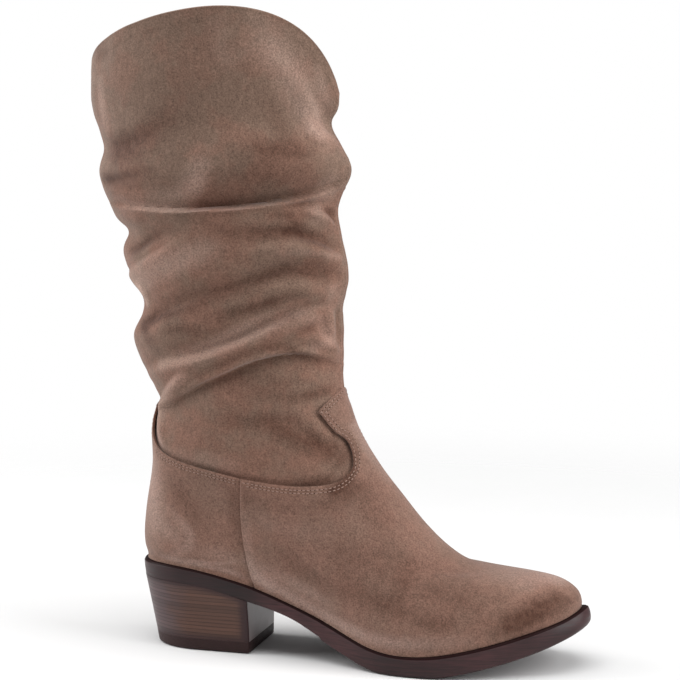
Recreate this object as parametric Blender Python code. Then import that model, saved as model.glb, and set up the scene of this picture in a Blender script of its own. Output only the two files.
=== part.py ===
"""Tall slouch boot for the right foot: a slack suede shaft on a pointed foot, with a stacked block heel.

Sizes are in millimetres from the back of the heel seat: x runs to the toe, y to the inner side of
the foot and z up from the floor. The model itself is in metres, centred over its own footprint.
"""

import bisect
import math
from collections import namedtuple

import bmesh
import bpy
from mathutils import Vector

MM = 0.001
SHARP_ANGLE = math.radians(35)

# Driving dimensions
SOLE_LENGTH = 279.5
HEEL_BREAST_X = 76.5
TOP_PIECE_HEIGHT = 7.0
TREAD_STEP_X = 123.0
TREAD_STEP_DEPTH = 1.3
UPPER_WALL = 1.8
OVERLAY_WALL = 1.4
INSOLE_THICKNESS = 2.0
CLEARANCE = 0.3
ARCH_HOLLOW = 4.0
SIDE_VIEW_REACH = 90.0

# How finely the curved skins are divided
POINTS_ROUND_UPPER = 44
POINTS_ROUND_SOLE = 72
POINTS_ROUND_HEEL = 29
STEPS_PER_EDGE_SPAN = 4

# Places of the three widths along a section, as a share of its length from the heel
HEEL_AT, WAIST_AT = 0.2, 0.43
BALL_AT_OUTER, BALL_AT_INNER = 0.63, 0.70

# Centre line of the foot in plan: the toe swings to the inner side
CentreRow = namedtuple("CentreRow", "x y")
CENTRE_LINE = [
    CentreRow(0, 0.0),
    CentreRow(90, 0.0),
    CentreRow(170, -1.5),
    CentreRow(215, 0.6),
    CentreRow(250, 4.8),
    CentreRow(SOLE_LENGTH, 9.0),
]

# Side view of the sole: its upper face and its tread, which dips under the floor line at the ball
# so that it can be cut flat there
SoleRow = namedtuple("SoleRow", "x top tread")
SOLE_LINE = [
    SoleRow(0, 50.0, 40.7),
    SoleRow(28, 50.6, 41.1),
    SoleRow(52, 48.0, 38.4),
    SoleRow(78, 41.8, 31.8),
    SoleRow(104, 34.4, 23.6),
    SoleRow(124, 27.2, 13.4),
    SoleRow(140, 20.6, 6.4),
    SoleRow(154, 15.8, 1.5),
    SoleRow(168, 13.0, -0.6),
    SoleRow(183, 12.0, -1.4),
    SoleRow(200, 13.0, 0.6),
    SoleRow(225, 17.2, 6.0),
    SoleRow(250, 24.0, 13.2),
    SoleRow(268, 30.6, 20.0),
    SoleRow(SOLE_LENGTH, 35.2, 25.6),
]

# Sections of the last and shaft, from the seam with the sole up to the collar. Each is a closed loop
# that runs from its back point to its front point in the side view. follow is how much of the sole's
# side curve it keeps, crown how far its middle rises, and the widths are half-widths. The rounds are
# the share of the length over which each end closes, and point is 0.5 for oval ends, more for sharper.
Section = namedtuple(
    "Section",
    "name back_x back_z front_x front_z follow crown heel waist ball back_round front_round point",
)
FOOT_SECTIONS = [
    Section("feather", 5.0, 50.3, 272.0, 33.2, 1.00, 0, 27.2, 27.0, 42.0, 0.13, 0.37, 0.5),
    Section("upstand", 5.0, 53.6, 272.2, 36.6, 1.00, 0, 27.3, 27.2, 42.2, 0.13, 0.37, 0.5),
    Section("bulge", 3.6, 60.0, 271.6, 42.6, 0.92, 0, 29.6, 29.6, 43.4, 0.13, 0.37, 0.5),
    Section("toe wall", 3.2, 68.0, 267.4, 48.6, 0.80, 0, 30.3, 31.5, 42.4, 0.14, 0.37, 0.5),
    Section("toe crest", 3.8, 77.0, 258.5, 52.2, 0.68, 0, 30.3, 32.6, 40.0, 0.15, 0.37, 0.5),
    Section("toe top", 5.0, 87.0, 244.5, 54.3, 0.55, 0, 30.0, 33.2, 37.2, 0.16, 0.37, 0.5),
    Section("vamp point", 6.6, 97.0, 229.0, 55.4, 0.43, 0, 29.8, 33.6, 35.4, 0.17, 0.38, 0.5),
    Section("vamp", 8.2, 107.0, 212.0, 56.8, 0.32, 0, 29.8, 34.0, 34.4, 0.18, 0.39, 0.5),
    Section("waist girth", 9.0, 116.0, 196.2, 65.0, 0.22, 0, 30.2, 34.4, 33.8, 0.20, 0.40, 0.5),
    Section("low instep", 8.8, 125.0, 180.2, 79.6, 0.14, 0, 31.0, 34.8, 33.8, 0.23, 0.42, 0.5),
    Section("instep", 8.6, 133.0, 164.7, 96.8, 0.07, 0, 32.0, 35.2, 34.0, 0.27, 0.44, 0.5),
    Section("high instep", 9.4, 140.0, 149.8, 115.0, 0.02, 0, 33.2, 35.6, 34.6, 0.33, 0.46, 0.5),
    Section("ankle", 11.2, 146.5, 137.0, 134.8, 0.00, 0, 34.6, 36.0, 35.4, 0.40, 0.48, 0.5),
    Section("throat", 12.2, 152.0, 128.4, 160.0, 0.00, 0, 36.0, 36.5, 36.2, 0.50, 0.50, 0.5),
]

# Folds of the slack shaft. A crease is a narrow section and a roll between two creases a wide one.
Fold = namedtuple("Fold", "name back_x back_z front_x front_z crown width point")
SHAFT_FOLDS = [
    Fold("ankle crease", 9.2, 158.5, 128.2, 182.0, 0, 37.5, 0.52),
    Fold("ankle roll", 5.0, 165.5, 128.6, 196.0, 0, 41.0, 0.54),
    Fold("low crease", -0.4, 175.5, 128.0, 210.5, 0, 39.0, 0.55),
    Fold("low roll", -4.8, 191.0, 130.2, 219.5, 0, 43.5, 0.57),
    Fold("middle crease", 2.0, 211.0, 131.8, 230.0, 0, 40.5, 0.58),
    Fold("middle roll", -11.0, 240.0, 129.6, 246.0, 0, 45.0, 0.60),
    Fold("high crease", -8.0, 254.5, 125.2, 266.0, 0, 41.5, 0.62),
    Fold("high fold", -17.2, 265.0, 127.0, 277.0, 0, 45.0, 0.64),
    Fold("high roll", -26.8, 288.0, 134.2, 294.5, 0, 46.5, 0.66),
    Fold("collar dent", -23.8, 306.0, 121.8, 318.0, 4, 45.5, 0.68),
    Fold("collar base", -31.6, 328.0, 125.6, 328.5, 25, 45.0, 0.70),
    Fold("collar", -32.8, 350.8, 126.4, 337.5, 46.1, 44.0, 0.72),
]
FOLD_ROUND = 0.5

# Shape of the collar's dome on each side: where it peaks, and how it falls away, the steeper the less
Crown = namedtuple("Crown", "skew back_fall front_fall")
OUTER_CROWN = Crown(1.43, 0.62, 1.34)
INNER_CROWN = Crown(1.0, 1.5, 1.8)

# Upper edge of vamp and counter in the side view, from the back tab to the front peak
EdgePoint = namedtuple("EdgePoint", "x z")
COUNTER_EDGE = [
    EdgePoint(11.5, 152.6),
    EdgePoint(12.4, 147.0),
    EdgePoint(11.0, 139.0),
    EdgePoint(15.0, 126.0),
    EdgePoint(33.0, 118.0),
    EdgePoint(75.5, 110.0),
]
VAMP_EDGE = [
    EdgePoint(75.5, 110.0),
    EdgePoint(106.0, 106.9),
    EdgePoint(130.5, 108.6),
    EdgePoint(139.2, 114.8),
    EdgePoint(139.2, 122.4),
    EdgePoint(134.6, 132.4),
    EdgePoint(128.4, 138.2),
    EdgePoint(119.4, 150.4),
]
VAMP_PEAK = EdgePoint(130.0, 163.5)

# Seam between counter and vamp in the side view, from the upper edge down to the sole
SIDE_SEAM = [
    EdgePoint(75.5, 110.0),
    EdgePoint(74.6, 86.0),
    EdgePoint(76.4, 66.0),
    EdgePoint(82.0, 38.0),
]

# The heel block from the floor up: height share, back of the block and half-width at the breast
HeelRow = namedtuple("HeelRow", "share back_x half_width")
HEEL_ROWS = [
    HeelRow(0.0, 10.0, 25.0),
    HeelRow(0.5, 5.8, 26.4),
    HeelRow(1.0, 1.7, 29.2),
]
HEEL_BACK_ROUND = 0.48

# The rounded side of the sole from tread to upper face: height share and how far it is drawn in
SideRow = namedtuple("SideRow", "share inset")
SOLE_SIDE = [
    SideRow(0.0, 1.8),
    SideRow(0.12, 0.5),
    SideRow(0.4, 0.0),
    SideRow(0.85, 0.3),
    SideRow(1.0, 1.4),
]
SOLE_WIDTHS = Section("sole", 1.0, 0, SOLE_LENGTH, 0, 1.0, 0, 30.0, 30.5, 45.0, 0.13, 0.37, 0.5)
LEATHER_SUEDE = ("suede", (0.235, 0.162, 0.130), 0.9)


def smooth(knots, values, at):
    """A cubic curve through the values at the knots, read at one place."""
    last = len(knots) - 1
    i = max(0, min(last - 1, bisect.bisect_right(knots, at) - 1))

    def slope(k):
        before, after = max(k - 1, 0), min(k + 1, last)
        return (values[after] - values[before]) / (knots[after] - knots[before])

    span = knots[i + 1] - knots[i]
    s = min(max((at - knots[i]) / span, 0.0), 1.0)
    rise = values[i + 1] - values[i]
    start, end = slope(i) * span, slope(i + 1) * span
    return values[i] + s * (start + s * (3 * rise - 2 * start - end + s * (start + end - 2 * rise)))


def column(rows, name):
    return [getattr(row, name) for row in rows]


def centre_y(x):
    return smooth(column(CENTRE_LINE, "x"), column(CENTRE_LINE, "y"), x)


def sole_top(x):
    return smooth(column(SOLE_LINE, "x"), column(SOLE_LINE, "top"), x)


def sole_tread(x):
    """The underside: a step down where the tread starts, and flat on the floor at the ball."""
    before_step = smooth(column(SOLE_LINE, "x"), column(SOLE_LINE, "tread"), x)
    raised = TREAD_STEP_DEPTH if x < TREAD_STEP_X else 0.0
    return max(before_step + raised, 0.0)


def side_width(section, share, medial):
    """Half-width of a section at a share of its length, with rounded ends."""
    knots = [0.0, HEEL_AT, WAIST_AT, BALL_AT_INNER if medial else BALL_AT_OUTER, 1.0]
    widths = [section.heel, section.heel, section.waist, section.ball, section.ball]
    width = smooth(knots, widths, share)
    if medial:
        width -= ARCH_HOLLOW * section.follow * math.exp(-(((share - WAIST_AT) / 0.14) ** 2))
    for distance, reach in ((share, section.back_round), (1 - share, section.front_round)):
        width *= (1 - (1 - min(distance / reach, 1.0)) ** 2) ** section.point
    return width


def crown_share(share, medial):
    """How much of a section's crown shows at a share of its length."""
    crown = INNER_CROWN if medial else OUTER_CROWN
    turn = math.acos(1 - 2 * share) / math.pi
    fall = crown.back_fall + (crown.front_fall - crown.back_fall) * turn
    return abs(math.sin(math.pi * turn**crown.skew)) ** fall


def plan_loop(section, count):
    """A section seen from above: back point, outer side to the front point, inner side back."""
    loop = []
    for k in range(count):
        share = (1 - math.cos(2 * math.pi * k / count)) / 2
        medial = 2 * k > count
        x = section.back_x + (section.front_x - section.back_x) * share
        width = side_width(section, share, medial)
        loop.append((x, centre_y(x) + (width if medial else -width), share, medial))
    return loop


def sole_lift(count):
    """How far the sole's side curve stands off the feather's chord, clear of the overlay's lap."""
    feather = FOOT_SECTIONS[0]
    loop = plan_loop(feather, count)
    lifts = []
    for k, (x, _, share, _) in enumerate(loop):
        before, after = loop[k - 1], loop[(k + 1) % count]
        along = Vector((after[0] - before[0], after[1] - before[1])).normalized()
        lapped_x = x + along.y * (CLEARANCE + OVERLAY_WALL)
        seat = max(sole_top(x), sole_top(lapped_x)) + CLEARANCE
        lifts.append(seat - feather.back_z - (feather.front_z - feather.back_z) * share)
    return lifts


def section_loop(section, count):
    """The closed loop of a section in space."""
    loop = []
    for (x, y, share, medial), lift in zip(plan_loop(section, count), sole_lift(count)):
        z = section.back_z + (section.front_z - section.back_z) * share
        z += section.follow * lift + section.crown * crown_share(share, medial)
        loop.append((x, y, z))
    return loop


def all_sections():
    """The foot sections as they stand, then the shaft's folds with one section added in each gap."""
    folds = [
        Section(f.name, f.back_x, f.back_z, f.front_x, f.front_z, 0.0, f.crown,
                f.width, f.width, f.width, FOLD_ROUND, FOLD_ROUND, f.point)
        for f in SHAFT_FOLDS
    ]
    rows = FOOT_SECTIONS + folds
    knots = list(range(len(rows)))
    first_fold = len(FOOT_SECTIONS)
    sections = []
    for i, row in enumerate(rows):
        sections.append(row)
        if first_fold <= i < len(rows) - 1:
            between = [smooth(knots, column(rows, name), i + 0.5) for name in Section._fields[1:]]
            sections.append(Section("between", *between))
    return sections


def edge_curve(points):
    """A smooth line through points of the side view."""
    knots = list(range(len(points)))
    line = []
    for step in range((len(points) - 1) * STEPS_PER_EDGE_SPAN + 1):
        at = step / STEPS_PER_EDGE_SPAN
        line.append((smooth(knots, column(points, "x"), at), smooth(knots, column(points, "z"), at)))
    return line


def new_object(name, mesh_builder, look, parent):
    """A named object from a bmesh, with its own material, under the boot."""
    mesh = bpy.data.meshes.new(name)
    shape = bmesh.new()
    mesh_builder(shape)
    bmesh.ops.recalc_face_normals(shape, faces=shape.faces[:])
    shape.to_mesh(mesh)
    shape.free()
    mesh.shade_smooth()
    mesh.set_sharp_from_angle(angle=SHARP_ANGLE)
    made = bpy.data.objects.new(name, mesh)
    bpy.context.scene.collection.objects.link(made)
    made.parent = parent
    material_name, colour, roughness = look
    material = bpy.data.materials.new(f"{name} {material_name}")
    material.use_nodes = True
    shader = material.node_tree.nodes["Principled BSDF"]
    shader.inputs["Base Color"].default_value = (*colour, 1.0)
    shader.inputs["Roughness"].default_value = roughness
    mesh.materials.append(material)
    return made


def add_loops(shape, loops):
    return [[shape.verts.new([value * MM for value in point]) for point in loop] for loop in loops]


def join_sides(shape, loops):
    """Faces between each loop and the next."""
    for lower, upper in zip(loops, loops[1:]):
        count = len(lower)
        for k in range(count):
            after = (k + 1) % count
            shape.faces.new((lower[k], lower[after], upper[after], upper[k]))


def close_flat(shape, loop):
    """Strips across a loop whose two sides share their places along x."""
    count = len(loop)
    half = (count - 1) // 2
    shape.faces.new((loop[0], loop[1], loop[-1]))
    for k in range(1, half):
        shape.faces.new((loop[k], loop[k + 1], loop[count - k - 1], loop[count - k]))
    if count % 2 == 0:
        shape.faces.new((loop[half], loop[half + 1], loop[half + 2]))


def skin_builder(loops):
    """An open skin, cut into triangles so that the pieces laid over it share its facets."""
    def build(shape):
        join_sides(shape, add_loops(shape, loops))
        bmesh.ops.triangulate(shape, faces=shape.faces[:], quad_method="FIXED")
    return build


def solid_builder(loops):
    def build(shape):
        made = add_loops(shape, loops)
        join_sides(shape, made)
        close_flat(shape, made[0])
        close_flat(shape, made[-1])
    return build


def prism_builder(outline):
    """A side-view outline drawn out to both sides of the boot."""
    def build(shape):
        near = [shape.verts.new((x * MM, -SIDE_VIEW_REACH * MM, z * MM)) for x, z in outline]
        face = shape.faces.new(near)
        drawn = bmesh.ops.extrude_face_region(shape, geom=[face])
        moved = [item for item in drawn["geom"] if isinstance(item, bmesh.types.BMVert)]
        bmesh.ops.translate(shape, verts=moved, vec=(0, 2 * SIDE_VIEW_REACH * MM, 0))
    return build


def sole_loop(inset, height):
    """The outline of the sole, drawn in by an inset, at a height that depends on x."""
    widths = SOLE_WIDTHS._replace(
        back_x=SOLE_WIDTHS.back_x + inset,
        front_x=SOLE_WIDTHS.front_x - inset,
        heel=SOLE_WIDTHS.heel - inset,
        waist=SOLE_WIDTHS.waist - inset,
        ball=SOLE_WIDTHS.ball - inset,
    )
    count = POINTS_ROUND_SOLE
    shares = sorted((1 - math.cos(2 * math.pi * k / count)) / 2 for k in range(count // 2 + 1))
    step = TREAD_STEP_X / SOLE_LENGTH
    shares = sorted([s for s in shares if abs(s - step) > 0.008] + [step - 0.0012, step + 0.0012])
    sides = {}
    for medial in (False, True):
        sides[medial] = []
        for share in shares:
            x = widths.back_x + (widths.front_x - widths.back_x) * share
            width = side_width(widths, share, medial)
            y = centre_y(x) + (width if medial else -width)
            sides[medial].append((x, y, height(x)))
    return sides[False] + sides[True][-2:0:-1]


def heel_loop(row, height, inset=0.0):
    """The D outline of the heel block: rounded back, straight sides, flat breast."""
    half = POINTS_ROUND_HEEL // 2
    back = row.back_x + inset
    breast = HEEL_BREAST_X - inset
    lateral, medial = [], []
    for k in range(1, half + 1):
        share = 1 - math.cos(math.pi / 2 * k / half)
        x = back + (breast - back) * share
        rounding = math.sqrt(1 - (1 - min(share / HEEL_BACK_ROUND, 1.0)) ** 2)
        width = (row.half_width - inset) * rounding
        lateral.append((x, -width, height(x)))
        medial.append((x, width, height(x)))
    return [(back, 0.0, height(back))] + lateral + medial[::-1]


def heel_row(share):
    values = [smooth(column(HEEL_ROWS, "share"), column(HEEL_ROWS, name), share)
              for name in ("back_x", "half_width")]
    return HeelRow(share, *values)


def make_outsole(parent):
    def level(row):
        return lambda x: sole_tread(x) + row.share * (sole_top(x) - sole_tread(x))

    loops = [sole_loop(row.inset, level(row)) for row in SOLE_SIDE]
    return new_object("outsole", solid_builder(loops), ("edge finish", (0.045, 0.038, 0.036), 0.45), parent)


def make_heel(parent):
    seat = TOP_PIECE_HEIGHT + CLEARANCE

    def level(share):
        return lambda x: seat + share * (sole_tread(x) - CLEARANCE - seat)

    loops = [heel_loop(heel_row(0.15 + 0.85 * s), level(s)) for s in (0.0, 0.25, 0.5, 0.75, 1.0)]
    new_object("heel_stack", solid_builder(loops), ("stack", (0.16, 0.12, 0.10), 0.6), parent)
    piece = [
        heel_loop(heel_row(0.0), lambda x: 0.0, inset=0.8),
        heel_loop(heel_row(0.0), lambda x: 0.8),
        heel_loop(heel_row(0.15), lambda x: TOP_PIECE_HEIGHT),
    ]
    new_object("heel_top_piece", solid_builder(piece), ("rubber", (0.02, 0.02, 0.02), 0.7), parent)


def make_upper(parent):
    loops = [section_loop(section, POINTS_ROUND_UPPER) for section in all_sections()]
    upper = new_object("upper", skin_builder(loops), LEATHER_SUEDE, parent)
    wall = upper.modifiers.new("wall", "SOLIDIFY")
    wall.thickness = UPPER_WALL * MM
    wall.offset = -1.0
    return upper


def make_overlay(name, outline, parent):
    """A piece laid over the upper's own skin and cut to an outline of the side view."""
    rows = all_sections()[:len(FOOT_SECTIONS) + 2]
    loops = [section_loop(section, POINTS_ROUND_UPPER) for section in rows]
    piece = new_object(name, skin_builder(loops), LEATHER_SUEDE, parent)
    lift = piece.modifiers.new("lift off the upper", "DISPLACE")
    lift.strength = CLEARANCE * MM
    lift.mid_level = 0.0
    wall = piece.modifiers.new("wall", "SOLIDIFY")
    wall.thickness = OVERLAY_WALL * MM
    wall.offset = 1.0
    cutter = new_object(f"{name}_outline", prism_builder(outline), LEATHER_SUEDE, parent)
    cutter.hide_render = True
    cutter.display_type = "WIRE"
    cut = piece.modifiers.new("cut to outline", "BOOLEAN")
    cut.operation = "INTERSECT"
    cut.solver = "EXACT"
    cut.object = cutter
    return piece


def make_foot_pieces(parent):
    seam = edge_curve(SIDE_SEAM)
    vamp_top = edge_curve(VAMP_EDGE)
    floor, front = -20.0, SOLE_LENGTH + 40.0
    vamp = vamp_top + [VAMP_PEAK, (front, VAMP_PEAK.z), (front, floor), (seam[-1][0], floor)]
    vamp += seam[:0:-1]
    make_overlay("vamp", vamp, parent)
    counter_top = edge_curve(COUNTER_EDGE)
    back = -60.0
    shifted = [(x - CLEARANCE, z) for x, z in seam]
    counter = counter_top[:-1] + shifted
    counter += [(shifted[-1][0], floor), (back, floor), (back, COUNTER_EDGE[0].z)]
    make_overlay("counter", counter, parent)


def make_insole(parent):
    inset = UPPER_WALL + CLEARANCE + 0.4
    feather = FOOT_SECTIONS[0]
    sock = feather._replace(
        back_x=feather.back_x + inset,
        front_x=feather.front_x - inset,
        heel=feather.heel - inset,
        waist=feather.waist - inset,
        ball=feather.ball - inset,
    )

    def loop(lift):
        flat = section_loop(sock, POINTS_ROUND_UPPER)
        return [(x, y, sole_top(x) + lift) for x, y, _ in flat]

    loops = [loop(CLEARANCE), loop(CLEARANCE + INSOLE_THICKNESS)]
    new_object("insole", solid_builder(loops), ("lining", (0.30, 0.22, 0.16), 0.7), parent)


def centre_over_footprint(boot):
    """Move the whole boot so that the middle of its box in plan is the origin."""
    bpy.context.view_layer.update()
    pieces = [piece for piece in boot.children if not piece.hide_render]
    corners = [piece.matrix_world @ Vector(corner) for piece in pieces for corner in piece.bound_box]
    for axis in (0, 1):
        values = [corner[axis] for corner in corners]
        boot.location[axis] = -(min(values) + max(values)) / 2


def main():
    for old in list(bpy.data.objects):
        bpy.data.objects.remove(old, do_unlink=True)
    boot = bpy.data.objects.new("boot", None)
    bpy.context.scene.collection.objects.link(boot)
    make_outsole(boot)
    make_heel(boot)
    make_upper(boot)
    make_foot_pieces(boot)
    make_insole(boot)
    centre_over_footprint(boot)


main()
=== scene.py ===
"""Looks of a tall slouch boot: a suede shaft in slack folds, sewn foot pieces, sole and stacked heel.

The tables are in millimetres of the boot, from the back of its heel seat: x runs to the toe, y to the
inner side of the foot and z up from the floor. in_frame() turns them into the frame's metres.
"""

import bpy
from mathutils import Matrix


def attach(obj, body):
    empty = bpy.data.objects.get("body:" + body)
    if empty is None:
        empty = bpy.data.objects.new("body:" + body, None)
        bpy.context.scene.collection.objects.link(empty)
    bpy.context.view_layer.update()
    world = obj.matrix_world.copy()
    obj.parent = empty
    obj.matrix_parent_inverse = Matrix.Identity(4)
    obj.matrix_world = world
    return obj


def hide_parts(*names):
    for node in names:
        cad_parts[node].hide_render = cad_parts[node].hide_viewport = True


bl_info = {
    "name": "Tall Slouch Boot",
    "version": (1, 0, 0),
    "blender": (4, 5, 0),
    "location": "3D View > Sidebar > Boot",
    "description": "Dresses the CAD frame of a tall slouch boot in suede, sewing, sole and heel",
    "category": "Object",
}

import math
from collections import namedtuple

import bmesh
import bpy
import numpy as np
from mathutils import Matrix, Vector, kdtree, noise
from mathutils.bvhtree import BVHTree

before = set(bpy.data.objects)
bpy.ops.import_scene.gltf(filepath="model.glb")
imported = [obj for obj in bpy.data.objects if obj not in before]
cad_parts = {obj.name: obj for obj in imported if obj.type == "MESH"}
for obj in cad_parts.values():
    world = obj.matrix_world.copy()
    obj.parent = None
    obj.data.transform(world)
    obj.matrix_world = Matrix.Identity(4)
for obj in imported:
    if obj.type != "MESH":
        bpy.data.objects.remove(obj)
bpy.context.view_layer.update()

MM = 0.001
BODY = "root"

# The boot's own zero in the frame: the CAD model is centred over its footprint
BOOT_ORIGIN = np.array([-123.35, 0.076, 0.0])

# Driving sizes, as in the solids
SOLE_LENGTH = 279.5
HEEL_BREAST_X = 76.5
TOP_PIECE_HEIGHT = 7.0
TREAD_STEP_X = 123.0
TREAD_STEP_DEPTH = 1.3
UPPER_WALL = 1.8
OVERLAY_WALL = 1.4
CLEARANCE = 0.3
ARCH_HOLLOW = 4.0
ARCH_SPAN = 0.14
HEEL_AT, WAIST_AT = 0.2, 0.43
BALL_AT_OUTER, BALL_AT_INNER = 0.63, 0.70

# Centre line of the foot in plan, and the sole's upper face and tread in the side view. The upper face
# follows the photograph up to 3 mm closer than the solids do.
CENTRE_X = [0, 90, 170, 215, 250, SOLE_LENGTH]
CENTRE_Y = [0.0, 0.0, -1.5, 0.6, 4.8, 9.0]
SOLE_X = [0, 28, 52, 78, 104, 124, 140, 154, 168, 183, 200, 225, 250, 268, SOLE_LENGTH]
SOLE_TOP = [52.0, 52.4, 49.1, 42.7, 33.2, 25.6, 19.4, 14.7, 12.3, 12.0, 13.7, 19.1, 26.0, 31.9, 37.8]
SOLE_TREAD = [40.7, 41.1, 38.4, 31.8, 23.6, 13.4, 6.4, 1.5, -0.6, -1.4, 0.6, 6.0, 13.2, 20.0, 25.6]

# Sections of the foot from the seam with the sole up to the ankle. follow is how much of the sole's side
# curve a section keeps, crown how far its middle rises, the widths are half-widths at heel, waist and
# ball, and the rounds are the share of its length over which each end closes, the sharper the larger
# point is. The line of toe and instep follows the photograph up to 3 mm closer than the solids do.
Section = namedtuple(
    "Section",
    "back_x back_z front_x front_z follow crown heel waist ball back_round front_round point",
)
FOOT_SECTIONS = [
    Section(5.0, 50.3, 272.0, 33.2, 1.00, 0, 27.2, 27.0, 42.0, 0.13, 0.37, 0.50),
    Section(5.0, 53.6, 272.2, 36.6, 1.00, 0, 27.3, 27.2, 42.2, 0.13, 0.37, 0.50),
    Section(3.6, 60.0, 270.4, 42.0, 0.92, 0, 29.6, 29.6, 43.4, 0.13, 0.37, 0.50),
    Section(3.2, 68.0, 264.6, 47.0, 0.80, 0, 30.3, 31.5, 42.4, 0.14, 0.37, 0.50),
    Section(3.8, 77.0, 256.4, 50.5, 0.68, 0, 30.3, 32.6, 40.0, 0.15, 0.37, 0.50),
    Section(5.0, 87.0, 244.0, 52.6, 0.55, 0, 30.0, 33.2, 37.2, 0.16, 0.37, 0.50),
    Section(6.6, 97.0, 228.6, 53.7, 0.43, 0, 29.8, 33.6, 35.4, 0.17, 0.38, 0.50),
    Section(8.2, 107.0, 213.5, 55.4, 0.32, 0, 29.8, 34.0, 34.4, 0.18, 0.39, 0.50),
    Section(9.0, 116.0, 199.4, 62.2, 0.22, 0, 30.2, 34.4, 33.8, 0.20, 0.40, 0.50),
    Section(8.8, 125.0, 181.6, 77.1, 0.14, 0, 31.0, 34.8, 33.8, 0.23, 0.42, 0.50),
    Section(8.6, 133.0, 164.7, 96.8, 0.07, 0, 32.0, 35.2, 34.0, 0.27, 0.44, 0.50),
    Section(9.4, 140.0, 150.2, 115.3, 0.02, 0, 33.2, 35.6, 34.6, 0.33, 0.46, 0.50),
    Section(11.2, 146.5, 137.6, 135.2, 0.00, 0, 34.6, 36.0, 35.4, 0.40, 0.48, 0.50),
    Section(12.2, 152.0, 129.4, 160.2, 0.00, 0, 36.2, 36.8, 36.4, 0.50, 0.50, 0.50),
]

# Folds of the slack shaft above the foot, as round sections of one half-width. The widths run evenly,
# because the creases and ridges below give the shaft its narrow and wide places. The collar follows the
# photograph up to 2 mm closer than the solids do.
Fold = namedtuple("Fold", "back_x back_z front_x front_z crown width point")
FOLDS = [
    Fold(9.2, 158.5, 129.0, 182.0, 0, 38.2, 0.52),
    Fold(5.0, 165.5, 128.6, 196.0, 0, 39.6, 0.54),
    Fold(-0.4, 175.5, 128.0, 210.5, 0, 40.6, 0.55),
    Fold(-4.8, 191.0, 130.2, 219.5, 0, 41.6, 0.57),
    Fold(2.0, 211.0, 131.8, 230.0, 0, 42.4, 0.58),
    Fold(-11.0, 240.0, 129.6, 246.0, 0, 43.2, 0.60),
    Fold(-8.0, 254.5, 125.2, 266.0, 0, 43.8, 0.62),
    Fold(-17.2, 265.0, 127.0, 277.0, 0, 44.4, 0.64),
    Fold(-26.8, 288.0, 134.2, 294.5, 0, 45.2, 0.66),
    Fold(-23.8, 306.0, 121.8, 318.0, 4, 45.2, 0.68),
    Fold(-31.6, 328.0, 125.6, 328.5, 25, 44.8, 0.70),
    Fold(-31.2, 350.8, 126.4, 337.5, 46.1, 44.0, 0.72),
]
SECTIONS = FOOT_SECTIONS + [
    Section(*fold[:4], 0.0, fold.crown, *[fold.width] * 3, 0.5, 0.5, fold.point) for fold in FOLDS
]
COLLAR_ROW = len(SECTIONS) - 1

# Shape of the collar's dome on each side: where it peaks, and how it falls away, the steeper the less
Crown = namedtuple("Crown", "skew back_fall front_fall")
OUTER_CROWN = Crown(1.43, 0.57, 1.18)
INNER_CROWN = Crown(1.0, 1.5, 1.8)

# Edges of the foot pieces in the side view: counter and vamp along their tops, and the seam between
COUNTER_EDGE = [(11.5, 152.6), (12.4, 147.0), (11.0, 139.0), (15.0, 126.0), (33.0, 118.0), (75.5, 110.0)]
VAMP_EDGE = [
    (75.5, 110.0), (106.0, 106.9), (130.5, 108.6), (139.2, 114.8), (139.2, 122.4), (134.6, 132.4),
    (128.4, 138.2), (119.4, 150.4),
]
VAMP_PEAK = (130.0, 163.5)
SIDE_SEAM = [(75.5, 110.0), (74.6, 86.0), (76.4, 66.0), (82.0, 38.0)]

# Where the outlines of the foot pieces close, well past heel, toe and sole
PAST_HEEL, PAST_TOE, PAST_SOLE = -60.0, SOLE_LENGTH + 40.0, -20.0

# Creases and ridges of the slack shaft, drawn in the side view from back to front. Each point has the
# depth of the trough there, less than nothing for a ridge. above and below are how far the cloth swells
# on each side of the line before it is back on the round of the shaft. edge is the height of a lip along
# the line, with a painted highlight on it: on its lower side, or less than nothing for one on its upper
# side.
Crease = namedtuple("Crease", "name inner above below edge points")
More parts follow.
